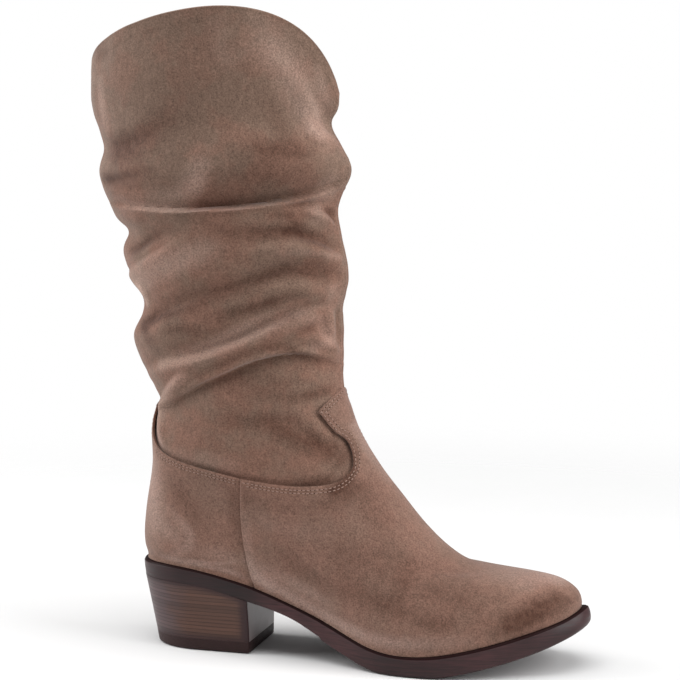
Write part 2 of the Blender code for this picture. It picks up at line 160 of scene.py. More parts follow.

# How far the bottom of a crease and its lip are rounded, as shares of its narrower side, the depth from
# which a lip has its full height, and how much painted shade each millimetre puts in a trough and how
# much painted highlight it puts on a ridge and on a lip
CREASE_ROUND, EDGE_WIDTH = 0.2, 0.5
EDGE_FULL_DEPTH = 4.0
CREASE_SHADE, RIDGE_HIGHLIGHT, LIP_HIGHLIGHT = 0.024, 0.018, 0.16
CREASES = [
    Crease("overhang", False, 22, 2.0, 1.0, [
        (-14, 272, 0.8), (-4, 271.5, 1.8), (13, 271, 3.0), (28, 270.2, 4.0), (45, 270.5, 5.6),
        (61, 271.4, 7.2), (75, 272.2, 8.0), (89, 273.8, 8.0), (100, 275.5, 7.4), (110, 277.5, 6.2),
        (118, 280, 4.8), (127, 284, 2.4)]),
    Crease("overhang roll", False, 26, 15, 0, [
        (14, 291, -0.8), (50, 297, -2.4), (85, 298, -2.8), (112, 299, -2.4), (132, 298, -1.2)]),
    Crease("lit bulge", False, 9, 9, 0, [
        (40, 281, -0.4), (48, 288, -1.7), (55, 297, -1.7), (60, 308, -0.3)]),
    Crease("back pleat", False, 6, 6, 0, [
        (-20, 285, 2.2), (-6, 287, 2.0), (7, 289, 1.2), (26, 291, 0.1)]),
    Crease("back lobe", False, 5, 6, 0, [
        (-16, 279, -0.8), (-4, 279, -1.4), (8, 277, -1.0), (19, 273, -0.2)]),
    Crease("collar sag", False, 11, 10, 0, [
        (-20, 304, 1.0), (-4, 308, 1.7), (11, 311, 1.6), (30, 317, 0.2)]),
    Crease("front cheek", False, 5, 7, 0, [
        (100, 356, -0.3), (108, 343, -1.0), (112, 333, -1.6), (113.5, 324, -2.0), (116, 316, -2.4),
        (120, 312, -2.4), (127, 309, -1.4)]),
    Crease("front cheek hollow", False, 6, 6, 0, [
        (116, 338, 0.3), (120, 328, 1.6), (122.5, 318, 1.6), (126, 313, 0.6)]),
    Crease("tongue hollow", False, 4, 3, 0, [
        (100, 271, 0.4), (110, 273, 2.2), (118, 273.5, 2.4), (124, 274, 0.8)]),
    Crease("tongue", False, 3.4, 4.4, 0, [
        (109, 269.5, -0.4), (113, 269, -2.2), (117, 267, -3.0), (121, 264.5, -3.0), (125, 260, -1.6)]),
    Crease("tongue pit", False, 3, 3, 0, [
        (121, 271, 0.4), (124, 267, 3.6), (125.5, 263, 3.4), (126.5, 259, 0.6)]),
    Crease("front hollow", False, 8, 7, 0, [
        (66, 257, 0.3), (78, 257, 0.9), (90, 258, 1.6), (102, 257.5, 2.3), (113, 256, 2.9),
        (120, 253.5, 2.9), (127, 246, 2.0)]),
    Crease("front ridge", False, 6, 7, 0, [
        (78, 245, -0.4), (91, 246.5, -1.7), (98, 247, -2.4), (106, 248, -2.8), (113, 248, -3.1),
        (119, 246, -3.2), (125, 242, -3.0), (130, 236, -1.8)]),
    Crease("back hollow", False, 9, 7, 0, [
        (-6, 240, 1.6), (1, 244, 2.2), (10, 248, 2.5), (18, 252, 2.3), (30, 255, 1.5), (44, 258, 0.1)]),
    Crease("back ridge", False, 5, 12, 0, [
        (-6, 226, -1.2), (1, 230, -2.4), (12, 235, -3.2), (20, 239, -3.2), (28, 243, -2.6),
        (37, 248, -1.4), (46, 253, -0.2)]),
    Crease("back notch", False, 5, 5, 0, [(0, 227, -0.6), (6, 220, -1.5), (10, 214, -0.6)]),
    Crease("middle valley", False, 9, 11, 0, [
        (6, 199, 1.0), (15, 204, 2.2), (23, 209, 2.8), (35, 214, 3.2), (45, 218, 3.2), (59, 222, 3.5),
        (72, 226, 4.0), (84, 231, 4.6), (94, 235, 5.0), (103, 237, 5.0), (113, 237, 4.6), (123, 234, 3.6),
        (130, 231, 2.0)]),
    Crease("middle roll", False, 8, 7, 0, [
        (92, 222, -0.3), (106, 223, -1.2), (113, 222, -1.6), (121, 219, -1.6), (127, 215, -0.8)]),
    Crease("low crease", False, 16, 6.0, 1.1, [
        (5, 171, 0.6), (13, 175, 1.8), (22, 178.5, 2.6), (32, 181, 3.2), (41, 183, 3.8), (52, 186, 4.8),
        (60, 189, 5.4), (68, 192, 6.0), (76, 195.5, 6.2), (83, 199, 6.0), (91, 203, 5.4),
        (102, 207.5, 4.6), (109, 211, 3.8), (116, 213, 2.6), (124, 215, 1.0)]),
    Crease("front knuckle", False, 3, 3, 0, [
        (123.5, 209, -0.6), (124.5, 204, -2.4), (125, 198, -2.4), (125.5, 193, -0.6)]),
    Crease("front slit", False, 2.4, 2.4, 0, [
        (127, 212, 0.4), (127.4, 206, 2.4), (127.6, 198, 2.6), (128, 188, 0.6)]),
    Crease("brow hollow", False, 6, 5, 0, [
        (90, 190, 0.3), (104, 194, 1.8), (113, 198.5, 2.6), (120, 201, 1.4)]),
    Crease("front brow", False, 4, 5, 0, [
        (106, 195, -0.4), (113, 195, -1.6), (118, 194, -2.4), (122, 191.5, -2.9), (126, 187.5, -2.6),
        (129, 183, -1.0)]),
    Crease("ankle fold", False, 2.8, 15, -0.8, [
        (14, 141, 0.5), (20, 146, 1.2), (28, 152, 2.0), (39, 158, 2.8), (50, 164.5, 3.6),
        (61, 169.5, 4.4), (69, 173, 4.8), (80, 178, 5.2), (89, 181, 5.2), (99, 183.5, 5.0),
        (109, 184, 4.4), (116, 183, 3.6), (123, 180, 2.6), (128, 176, 1.2)]),
    Crease("back knuckle", False, 7, 5, 0, [
        (41, 171, -0.4), (36, 167.5, -1.8), (30, 162, -2.8), (24, 156, -3.0), (19, 149, -3.0),
        (17, 141, -2.4), (18, 133, -1.4), (22, 124, -0.3)]),
    Crease("wing hollow", False, 9, 9, 0, [
        (58, 141, 0.3), (66, 142, 0.8), (79, 143, 1.3), (91, 144, 1.6), (102, 145, 1.7), (110, 141, 2.0),
        (117, 135, 2.2), (125, 130.5, 1.6), (134, 127, 0.9)]),
    Crease("wing swell", False, 8, 8, 0, [
        (96, 153, -0.2), (105, 153, -0.9), (113, 154, -1.1), (120, 157, -0.5)]),
    Crease("inner overhang", True, 20, 2.2, 1.0, [
        (-12, 268, 0.8), (16, 272, 2.6), (44, 277, 5.2), (72, 276, 7.0), (98, 273, 6.2), (118, 276, 3.8),
        (127, 281, 1.8)]),
    Crease("inner overhang roll", True, 24, 15, 0, [
        (10, 294, -0.8), (48, 301, -2.4), (84, 300, -2.6), (120, 299, -1.4)]),
    Crease("inner sag", True, 12, 12, 0, [(-18, 312, 0.8), (20, 318, 1.6), (60, 326, 0.2)]),
    Crease("inner upper valley", True, 10, 9, 0, [
        (-4, 244, 1.4), (24, 250, 3.0), (52, 248, 3.8), (84, 240, 3.6), (112, 243, 2.4),
        (129, 250, 1.2)]),
    Crease("inner ridge", True, 7, 9, 0, [
        (40, 233, -0.8), (66, 228, -2.4), (94, 222, -2.8), (122, 222, -1.6)]),
    Crease("inner middle crease", True, 14, 2.8, 1.0, [
        (4, 206, 1.2), (26, 212, 3.6), (54, 211, 5.2), (84, 205, 5.6), (110, 204, 4.0), (127, 208, 1.6)]),
    Crease("inner low valley", True, 9, 12, 0, [
        (6, 172, 1.0), (30, 180, 3.0), (58, 186, 3.8), (90, 184, 3.6), (126, 188, 1.6)]),
    Crease("inner ankle fold", True, 3, 14, -0.8, [
        (20, 146, 0.8), (46, 157, 3.2), (76, 163, 4.2), (104, 167, 3.6), (127, 172, 1.4)]),
    Crease("inner knuckle", True, 7, 6, 0, [(18, 158, -1.4), (30, 166, -2.2), (44, 171, -0.4)]),
]

# Tones of the nap, drawn in the side view: mostly painted light and shade, with highlights on lit folds,
# edges and toe and shade under folds, in hollows and beside seams, and a few strokes of real brushed and
# rubbed nap such as the burnished toe. Each point has how much lighter, or less than nothing for darker,
# the nap is there, and reach is how far from its line a stroke fades out.
ToneStroke = namedtuple("ToneStroke", "name reach points")
FOOT_TONES = [
    ToneStroke("light toe top", 13, [(206, 62, 0.08), (226, 58, 0.22), (244, 56, 0.30), (260, 52, 0.28)]),
    ToneStroke("toe edge light", 4, [(248, 56, 0.16), (260, 51, 0.36), (267, 45, 0.26)]),
    ToneStroke("toe burnish", 13, [
        (222, 29, -0.10), (231, 30, -0.36), (239, 32, -0.62), (247, 35.5, -0.62), (256, 40, -0.58),
        (264, 43.5, -0.50), (270, 46.5, -0.20)]),
    ToneStroke("ball strip", 7, [
        (84, 49, 0.44), (92, 45, 0.54), (104, 39, 0.58), (120, 32, 0.54), (141, 25, 0.54),
        (160, 21, 0.46), (178, 20, 0.42), (194, 21, 0.22), (212, 23, 0.14), (226, 26, 0.04)]),
    ToneStroke("waist light", 8, [
        (80, 57, 0.20), (90, 53, 0.30), (103, 49, 0.30), (118, 43, 0.28), (132, 36, 0.12)]),
    ToneStroke("toe dusk", 12, [(198, 46, -0.06), (218, 42, -0.14), (232, 44, -0.10)]),
    ToneStroke("ball rub", 6, [(186, 34, -0.08), (196, 31, -0.24), (206, 32, -0.12)]),
    ToneStroke("ball dusk", 10, [(166, 44, -0.04), (180, 40, -0.10), (200, 34, -0.14), (217, 33, -0.10)]),
    ToneStroke("vamp brush", 9, [(173, 68, -0.06), (177, 55, -0.12), (171, 42, -0.10), (160, 36, -0.04)]),
    ToneStroke("vamp dusk", 20, [
        (142, 66, -0.18), (162, 58, -0.22), (186, 53, -0.25), (209, 51, -0.25), (224, 55, -0.10)]),
    ToneStroke("instep dusk", 12, [(147, 106, -0.08), (158, 88, -0.16), (168, 71, -0.10)]),
    ToneStroke("vamp foot shade", 10, [
        (138, 52, -0.10), (150, 46, -0.24), (164, 41, -0.26), (178, 36, -0.20), (190, 33, -0.08)]),
    ToneStroke("vamp shade", 9, [
        (96, 70, -0.08), (109, 61, -0.20), (124, 52, -0.20), (140, 45, -0.10), (156, 42, -0.04)]),
    ToneStroke("vamp glow", 9, [(92, 84, 0.08), (110, 81, 0.09), (128, 81, 0.04)]),
    ToneStroke("under the vamp seam", 7, [
        (80, 98, -0.16), (88, 97, -0.12), (110, 95, -0.08), (130, 96, -0.12)]),
    ToneStroke("throat shade", 6, [
        (132, 135, -0.14), (136, 126, -0.50), (138.5, 117, -0.54), (137, 109, -0.50), (131, 105, -0.36)]),
    ToneStroke("throat foot shade", 10, [
        (128, 100, -0.10), (137, 102, -0.40), (145, 104, -0.26), (149, 96, -0.10)]),
    ToneStroke("throat edge light", 4.5, [
        (137, 140, 0.44), (144, 128, 0.50), (151, 118, 0.30), (158, 107, 0.14)]),
    ToneStroke("light by the seam", 6, [(77, 88, 0.16), (79, 66, 0.30), (82, 52, 0.34), (91, 42, 0.28)]),
    ToneStroke("light counter back", 14, [
        (9, 120, 0.28), (12, 104, 0.40), (15, 88, 0.42), (20, 76, 0.38), (31, 70, 0.26)]),
    ToneStroke("light counter rim", 5.5, [
        (27, 88, 0.10), (36, 80, 0.26), (42, 72, 0.30), (39, 64, 0.24), (28, 59, 0.14)]),
    ToneStroke("counter core", 7, [(22, 70, -0.14), (27, 66, -0.14)]),
    ToneStroke("counter shade", 10, [
        (29, 107, -0.08), (34, 99, -0.20), (41, 90, -0.20), (49, 81, -0.10), (54, 72, -0.04)]),
    ToneStroke("counter glow", 10, [(46, 62, 0.10), (58, 62, 0.18), (70, 58, 0.18)]),
    ToneStroke("shade by the seam", 7, [(67, 104, -0.08), (70, 95, -0.18), (71, 82, -0.14), (72, 68, -0.06)]),
    ToneStroke("counter scuff", 1.5, [
        (33, 59.8, 0.0), (42, 58, 0.20), (54, 57, 0.26), (64, 57.2, 0.24), (72, 59, 0.06)]),
    ToneStroke("heel strip", 4, [
        (22, 57.5, 0.24), (34, 56, 0.46), (47, 55, 0.50), (58, 53.5, 0.40), (70, 51, 0.34),
        (78, 47, 0.12)]),
]
SHAFT_TONES = [
    ToneStroke("cheek light", 15, [
        (88, 380, 0.20), (97, 364, 0.44), (104, 351, 0.52), (110, 337, 0.52), (116, 324, 0.54),
        (121, 313, 0.36)]),
    ToneStroke("cheek fold light", 4.5, [
        (109, 330, 0.10), (112, 322, 0.34), (114, 316, 0.44), (119, 311, 0.22)]),
    ToneStroke("cheek edge light", 4, [
        (117, 353, 0.16), (121, 337, 0.36), (122.5, 324, 0.34), (118, 312, 0.16)]),
    ToneStroke("collar glow", 12, [(66, 376, 0.16), (69, 360, 0.20), (82, 362, 0.14), (95, 358, 0.14)]),
    ToneStroke("collar corner shade", 9, [(-21, 366, -0.24), (-12, 362, -0.16), (2, 366, -0.06)]),
    ToneStroke("shade beside the cheek", 8, [(88, 340, -0.04), (96, 325, -0.18), (101, 314, -0.24)]),
    ToneStroke("shade under the cheek", 13, [
        (75, 304, -0.12), (90, 304, -0.44), (103, 304, -0.44), (111, 303, -0.34)]),
    ToneStroke("back shade", 15, [(50, 331, -0.08), (30, 320, -0.28), (12, 309, -0.48), (-6, 304, -0.58)]),
    ToneStroke("back dusk", 10, [(-16, 286, -0.48), (0, 287, -0.40), (20, 292, -0.24)]),
    ToneStroke("back edge light", 6, [(-18, 346, 0.30), (-17, 331, 0.56), (-14, 319, 0.30)]),
    ToneStroke("lit bulge", 10, [
        (-2, 273, 0.12), (21, 275, 0.32), (42, 278, 0.62), (52, 286, 0.84), (57, 295, 0.48)]),
    ToneStroke("overhang lip light", 3.5, [
        (-2, 272, 0.30), (10, 271.5, 0.60), (25, 271, 0.74), (40, 271, 0.60), (50, 271.5, 0.24),
        (60, 272, 0.0)]),
    ToneStroke("overhang shade", 12, [(80, 290, -0.14), (95, 289, -0.28), (108, 288, -0.10)]),
    ToneStroke("tongue shade", 6, [(92, 268, -0.12), (103, 267, -0.36), (110, 262, -0.24)]),
    ToneStroke("tongue pit", 3, [(121.5, 271, -0.24), (124.5, 266, -0.70), (125.5, 260, -0.40)]),
    ToneStroke("tongue light", 8, [(128, 288, 0.25), (122, 278, 0.36), (118, 268, 0.40), (122, 260, 0.12)]),
    ToneStroke("front hollow", 8, [
        (62, 257, -0.16), (78, 256, -0.30), (92, 256, -0.42), (103, 257, -0.54), (112, 255, -0.54),
        (122, 249, -0.40)]),
    ToneStroke("back ridge light", 12, [
        (6, 226, 0.80), (24, 234, 0.84), (40, 240, 0.76), (54, 245, 0.50), (64, 251, 0.18)]),
    ToneStroke("back notch light", 5, [(6, 223, 0.80), (10, 213, 0.60)]),
    ToneStroke("back hollow", 6, [(2, 243, -0.46), (10, 247, -0.44), (22, 254, -0.24)]),
    ToneStroke("back low shade", 7, [(9, 199, -0.24), (13, 193, -0.44), (17, 186, -0.16)]),
    ToneStroke("front ridge light", 4, [(98, 244, 0.10), (116, 245, 0.24), (127, 241, 0.26)]),
    ToneStroke("middle valley", 7, [
        (8, 199, -0.50), (20, 205, -0.52), (40, 210, -0.42), (65, 219, -0.28), (84, 227, -0.34),
        (100, 233, -0.40), (116, 233, -0.38), (126, 230, -0.22)]),
    ToneStroke("valley foot", 6, [
        (60, 207, -0.12), (78, 211, -0.36), (92, 215, -0.46), (104, 219, -0.34), (113, 222, -0.08)]),
    ToneStroke("valley back", 6, [(26, 197, -0.18), (38, 199, -0.32), (50, 198, -0.22)]),
    ToneStroke("front slit", 2, [
        (127.5, 212, -0.30), (127.8, 206, -0.70), (128, 199, -0.50), (128, 192, 0.0)]),
    ToneStroke("front edge light", 4.5, [(127, 224, 0.30), (126, 211, 0.30)]),
    ToneStroke("low roll light", 7.5, [
        (22, 176, 0.50), (41, 182.5, 0.64), (61, 190, 0.82), (76, 197.5, 0.80), (92, 205.5, 0.42),
        (108, 212, 0.14)]),
    ToneStroke("low ridge light", 3.5, [
        (66, 188, 0.16), (76, 192, 0.34), (86, 197, 0.44), (96, 202, 0.48), (106, 207.5, 0.46),
        (115, 211, 0.36), (123, 213, 0.14)]),
    ToneStroke("front knuckle light", 6, [
        (112, 206, 0.10), (121, 203, 0.30), (124, 192, 0.50), (118, 189, 0.30)]),
    ToneStroke("over the ankle fold", 5, [
        (51, 171, -0.12), (68, 180, -0.22), (83, 187, -0.24), (99, 190, -0.40), (110, 185, -0.34),
        (119, 179, -0.20)]),
    ToneStroke("below the ankle fold", 8, [
        (66, 164, -0.06), (82, 170, -0.16), (98, 169, -0.16), (112, 172, -0.06)]),
    ToneStroke("under the ankle fold", 6, [
        (85, 162, -0.10), (107, 159, -0.34), (119, 161, -0.46), (126, 163, -0.28)]),
    ToneStroke("back knuckle light", 6, [
        (39, 170, 0.40), (31, 163, 0.60), (23, 151, 0.54), (18, 137, 0.46), (17, 124, 0.42),
        (20, 114, 0.26)]),
    ToneStroke("wing shade", 11, [
        (70, 143, -0.12), (91, 143, -0.32), (102, 139, -0.42), (114, 133, -0.50), (126, 128, -0.54),
        (134, 123, -0.42)]),
    ToneStroke("wing corner shade", 7, [(104, 109, -0.10), (117, 108, -0.34), (128, 111, -0.38)]),
    ToneStroke("low panel light", 9, [(27, 120, 0.16), (49, 119, 0.26), (69, 118, 0.20)]),
]
INNER_TONES = [
    ToneStroke("collar glow", 16, [(10, 352, 0.10), (42, 344, 0.22), (76, 338, 0.24), (100, 328, 0.14)]),
    ToneStroke("front light", 11, [(118, 330, 0.20), (116, 316, 0.30), (122, 300, 0.20)]),
    ToneStroke("back shade", 13, [(-14, 316, -0.24), (10, 322, -0.26), (36, 328, -0.14)]),
    ToneStroke("roll light", 10, [(8, 288, 0.10), (40, 292, 0.32), (72, 291, 0.36), (104, 288, 0.20)]),
    ToneStroke("upper valley", 9, [(6, 246, -0.24), (40, 250, -0.38), (70, 245, -0.40), (104, 241, -0.28)]),
    ToneStroke("ridge light", 8, [(38, 232, 0.24), (66, 226, 0.40), (94, 220, 0.44), (120, 220, 0.26)]),
    ToneStroke("low valley", 8, [(14, 176, -0.28), (46, 184, -0.40), (84, 185, -0.40), (116, 187, -0.24)]),
    ToneStroke("low roll light", 7, [(24, 200, 0.22), (54, 202, 0.40), (84, 197, 0.42), (110, 196, 0.20)]),
    ToneStroke("wing shade", 10, [(64, 138, -0.14), (92, 140, -0.32), (114, 133, -0.44), (129, 122, -0.44)]),
    ToneStroke("low panel light", 9, [(27, 120, 0.14), (49, 119, 0.24), (69, 118, 0.16)]),
]

# The heel from the floor up. The top piece takes the lowest share of its outline.
HEEL_SHARE = [0.0, 0.5, 1.0]
HEEL_BACK_X = [10.0, 5.8, 1.7]
HEEL_HALF_WIDTH = [25.0, 26.4, 29.2]
HEEL_BACK_ROUND = 0.48
HEEL_CORNER = 1.4
TOP_PIECE_SHARE = 0.15

# The side of the sole from tread to upper face: share of its height, and how far it is drawn in there
# along the foot, over the heel, which it runs into, and round the toe
SOLE_SIDE = [
    (0.0, 1.6, 0.78, 2.2), (0.03, 0.9, 0.76, 1.4), (0.08, 0.4, 0.7, 0.8), (0.16, 0.12, 0.58, 0.35),
    (0.3, 0.0, 0.4, 0.2), (0.5, 0.0, 0.18, 0.5), (0.68, 0.0, 0.05, 1.0), (0.87, 0.04, 0.04, 1.9),
    (0.895, 0.35, 0.32, 2.3), (0.95, 0.5, 0.5, 3.0), (0.98, 0.75, 0.75, 3.6), (1.0, 1.4, 1.4, 4.2),
]
RIM_FROM = 0.88

# Plan of the sole
SOLE_OUTLINE = Section(1.0, 0, SOLE_LENGTH, 0, 1.0, 0, 30.0, 30.5, 45.0, 0.13, 0.37, 0.5)

# How much lighter or darker the sole's edge is along the foot
EDGE_LIGHTNESS_X = [0, 16, 40, 76, 92, 120, 142, 162, 190, 220, 250, 270, SOLE_LENGTH]
EDGE_LIGHTNESS = [1.2, 0.9, 0.7, 0.65, 1.5, 1.7, 1.6, 0.9, 1.0, 1.3, 1.2, 0.9, 1.4]


# Curves, skin and distances


def in_frame(points):
    """Boot millimetres as the frame's metres."""
    return (np.asarray(points, float) + BOOT_ORIGIN) * MM


def curve(knots, values, at):
    """A cubic curve through the values at the knots, read at many places. Values may differ by place."""
    knots = np.asarray(knots, float)
    values = np.asarray(values, float)
    at = np.clip(np.asarray(at, float), knots[0], knots[-1])
    i = np.clip(np.searchsorted(knots, at, side="right") - 1, 0, len(knots) - 2)
    gaps = np.diff(knots)
    wide = (knots[2:] - knots[:-2]).reshape((-1,) + (1,) * (values.ndim - 1))
    slopes = np.concatenate([
        (values[1:2] - values[:1]) / gaps[0],
        (values[2:] - values[:-2]) / wide,
        (values[-1:] - values[-2:-1]) / gaps[-1],
    ])
    lane = (np.arange(at.size),) if values.ndim == 2 else ()
    low, high = values[(i,) + lane], values[(i + 1,) + lane]
    start, end = slopes[(i,) + lane] * gaps[i], slopes[(i + 1,) + lane] * gaps[i]
    s = (at - knots[i]) / gaps[i]
    rise = high - low
    return low + s * (start + s * (3 * rise - 2 * start - end + s * (start + end - 2 * rise)))


def smooth_line(points, steps=5):
    """A line of points with its corners rounded by cubic curves."""
    columns = np.asarray(points, float).T
    knots = np.arange(columns.shape[1])
    at = np.linspace(0, knots[-1], knots[-1] * steps + 1)
    return np.stack([curve(knots, column, at) for column in columns], axis=1)


def ease(value):
    """A soft step from 0 to 1."""
    value = np.clip(value, 0.0, 1.0)
    return value * value * (3 - 2 * value)


# A soft step along a line: where it starts and how far on it ends, less than nothing for backwards
Fade = namedtuple("Fade", "at over")


def fade(step, value):
    """How far a soft step has come at a place."""
    return ease((value - step.at) / step.over)


def bell(distance, width):
    """A soft hump, 1 in its middle, that fades out over a width."""
    return np.exp(-((distance / width) ** 2))


def sole_top(x):
    """Height of the sole's upper face along the foot."""
    return curve(SOLE_X, SOLE_TOP, x)


def sole_tread(x):
    """Height of the sole's tread along the foot, thinner behind the step of the half sole."""
    raised = np.where(x < TREAD_STEP_X, TREAD_STEP_DEPTH, 0.0)
    return np.maximum(curve(SOLE_X, SOLE_TREAD, x) + raised, 0.0)


def half_width(part, share, inner):
    """Half-width of sections at a share of their length, with rounded ends."""
    width = np.empty_like(share)
    for side, ball_at in ((False, BALL_AT_OUTER), (True, BALL_AT_INNER)):
        chosen = inner == side
        values = np.stack([part.heel, part.heel, part.waist, part.ball, part.ball])[:, chosen]
        width[chosen] = curve([0.0, HEEL_AT, WAIST_AT, ball_at, 1.0], values, share[chosen])
    hollow = ARCH_HOLLOW * part.follow * bell(share - WAIST_AT, ARCH_SPAN)
    width -= np.where(inner, hollow, 0.0)
    for distance, reach in ((share, part.back_round), (1 - share, part.front_round)):
        closing = 1 - (1 - np.minimum(distance / reach, 1.0)) ** 2
        width *= np.maximum(closing, 0.0) ** part.point
    return width


def section_plan(part, turn):
    """Plan of sections: turn is 0 at the back, a quarter on the outer side, a half at the front."""
    share = (1 - np.cos(2 * np.pi * turn)) / 2
    inner = turn > 0.5
    x = part.back_x + (part.front_x - part.back_x) * share
    side = np.where(inner, 1.0, -1.0)
    y = curve(CENTRE_X, CENTRE_Y, x) + side * half_width(part, share, inner)
    return x, y, share, inner


def feather_lifts(turn):
    """How far the sole's side curve stands off the chord of the lowest section, clear of the lap."""
    feather = Section(*(np.full(turn.size, value) for value in SECTIONS[0]))
    x, y, share, _ = section_plan(feather, turn)
    along_x = np.roll(x, -1) - np.roll(x, 1)
    along_y = np.roll(y, -1) - np.roll(y, 1)
    lapped_x = x + along_y / np.hypot(along_x, along_y) * (CLEARANCE + OVERLAY_WALL)
    seat = np.maximum(sole_top(x), sole_top(lapped_x)) + CLEARANCE
    return seat - feather.back_z - (feather.front_z - feather.back_z) * share


LIFT_TURNS = np.arange(720) / 720
LIFTS = feather_lifts(LIFT_TURNS)


def crown_share(share, inner):
    """How much of a section's crown shows at a share of its length."""
    turned = np.arccos(1 - 2 * share) / np.pi
    crown = Crown(*(np.where(inner, *pair) for pair in zip(INNER_CROWN, OUTER_CROWN)))
    fall = crown.back_fall + (crown.front_fall - crown.back_fall) * turned
    return np.abs(np.sin(np.pi * turned**crown.skew)) ** fall


def skin(turn, row):
    """Points of the boot's skin at places round it and rows of its sections, whole or between."""
    turn = np.asarray(turn, float) % 1.0
    numbers = np.arange(len(SECTIONS))
    part = Section(*(curve(numbers, column, row) for column in zip(*SECTIONS)))
    x, y, share, inner = section_plan(part, turn)
    z = part.back_z + (part.front_z - part.back_z) * share
    z += part.follow * np.interp(turn, LIFT_TURNS, LIFTS, period=1.0)
    z += part.crown * crown_share(share, inner)
    return np.stack([x, y, z], axis=1)


def skin_normals(turn, row):
    """Which way the skin faces."""
    small_turn, small_row = 0.0008, 0.01
    around = skin(turn + small_turn, row) - skin(turn - small_turn, row)
    higher = np.minimum(row + small_row, COLLAR_ROW)
    lower = np.maximum(row - small_row, 0)
    facing = np.cross(around, skin(turn, higher) - skin(turn, lower))
    return facing / np.linalg.norm(facing, axis=1)[:, None]


def line_distance(line, x, z):
    """Distance from a line of the side view, above it positive, with the line's third value there."""
    nearest = np.full(x.shape, np.inf)
    signed = np.zeros(x.shape)
    value = np.zeros(x.shape)
    for (x0, z0, v0), (x1, z1, v1) in zip(line[:-1], line[1:]):
        run, rise = x1 - x0, z1 - z0
        along = np.clip(((x - x0) * run + (z - z0) * rise) / (run * run + rise * rise), 0.0, 1.0)
        away = np.hypot(x - x0 - along * run, z - z0 - along * rise)
        closer = away < nearest
        side = np.where(run * (z - z0) - rise * (x - x0) > 0, 1.0, -1.0)
        nearest = np.where(closer, away, nearest)
        signed = np.where(closer, side * away, signed)
        value = np.where(closer, v0 + along * (v1 - v0), value)
    return signed, value


def outline_distance(outline, x, z):
    """Distance from a closed outline of the side view, less than nothing inside it."""
    closed = np.vstack([outline, outline[:1]])
    line = np.hstack([closed, np.zeros((len(closed), 1))])
    away = np.abs(line_distance(line, x, z)[0])
    inside = np.zeros(x.shape, bool)
    for (x0, z0), (x1, z1) in zip(closed[:-1], closed[1:]):
        if z0 != z1:
            crosses = (z0 > z) != (z1 > z)
            inside ^= crosses & (x < (x1 - x0) * (z - z0) / (z1 - z0) + x0)
    return np.where(inside, -away, away)


def vamp_outline():
    """The vamp in the side view, as a closed outline."""
    seam = smooth_line(SIDE_SEAM)
    corners = [VAMP_PEAK, (PAST_TOE, VAMP_PEAK[1]), (PAST_TOE, PAST_SOLE), (seam[-1][0], PAST_SOLE)]
    return np.vstack([smooth_line(VAMP_EDGE), corners, seam[:0:-1]])


def counter_outline():
    """The counter in the side view, as a closed outline that stops short of the vamp."""
    seam = smooth_line(SIDE_SEAM) - (CLEARANCE, 0.0)
    corners = [(seam[-1][0], PAST_SOLE), (PAST_HEEL, PAST_SOLE), (PAST_HEEL, COUNTER_EDGE[0][1])]
    return np.vstack([smooth_line(COUNTER_EDGE)[:-1], seam, corners])


def side_strokes(strokes, x, z):
    """Sum of soft strokes drawn in the side view."""
    total = np.zeros(x.shape)
    for stroke in strokes:
        signed, amount = line_distance(smooth_line(stroke.points), x, z)
        total += amount * ease(1 - np.abs(signed) / stroke.reach)
    return total


def creased(x, z, inner):
    """How far creases and ridges move the shaft's skin, with painted shade in troughs and painted highlights
    on ridges and lips.
    """
    shift = np.zeros(x.shape)
    tone = np.zeros(x.shape)
    for crease in CREASES:
        points = np.asarray(crease.points, float)
        reach = max(crease.above, crease.below)
        narrow = min(crease.above, crease.below)
        low, high = points[:, :2].min(axis=0) - reach, points[:, :2].max(axis=0) + reach
        near = (inner == crease.inner) & (x > low[0]) & (x < high[0]) & (z > low[1]) & (z < high[1])
        signed, depth = line_distance(smooth_line(points), x[near], z[near])
        width = np.where(signed > 0, crease.above, crease.below)
        if points[1, 2] > 0:
            soft = CREASE_ROUND * narrow
            away = (np.hypot(signed, soft) - soft) / (np.hypot(width, soft) - soft)
            profile = (1 - np.minimum(away, 1.0)) ** 2
            # Painted shade in the trough of a crease
            tone[near] -= CREASE_SHADE * depth * profile
        else:
            profile = (1 - np.minimum(np.abs(signed) / width, 1.0) ** 2) ** 2
            # Painted highlight along a ridge
            tone[near] -= RIDGE_HIGHLIGHT * depth * profile
        shift[near] -= depth * profile
        if crease.edge:
            side = math.copysign(1.0, crease.edge)
            full = np.minimum(np.abs(depth) / EDGE_FULL_DEPTH, 1.0)
            lip = abs(crease.edge) * full * bell(signed + side * narrow, EDGE_WIDTH * narrow)
            shift[near] += lip
            # Painted highlight on the lip
            tone[near] += LIP_HIGHLIGHT * lip
    return shift, tone


def ripple(points, size, height):
    """A gentle unevenness of the hide, the same on every run."""
    return np.array([noise.noise(Vector(point) / size) for point in points]) * height


def even_rows(first, last, step):
    """Row numbers that are about evenly far apart on the outer side."""
    samples, outer_turn = 600, 0.25
    fine = np.linspace(first, last, samples)
    middle = skin(np.full(samples, outer_turn), fine)
    length = np.concatenate([[0.0], np.cumsum(np.linalg.norm(np.diff(middle, axis=0), axis=1))])
    count = int(length[-1] / step)
    return np.interp(np.linspace(0, length[-1], count + 1), length, fine)


# Modelling steps

# Points this near each other are one, and edges this short are none
MERGED, SLIVER = 0.004 * MM, 0.001 * MM


def start_grid(name, columns, rows):
    """A flat grid to be laid on the boot, as the only thing selected."""
    bpy.ops.object.select_all(action="DESELECT")
    bpy.ops.mesh.primitive_grid_add(x_subdivisions=columns, y_subdivisions=rows, size=1.0)
    piece = bpy.context.object
    piece.name = name
    piece.data.name = name
    return piece


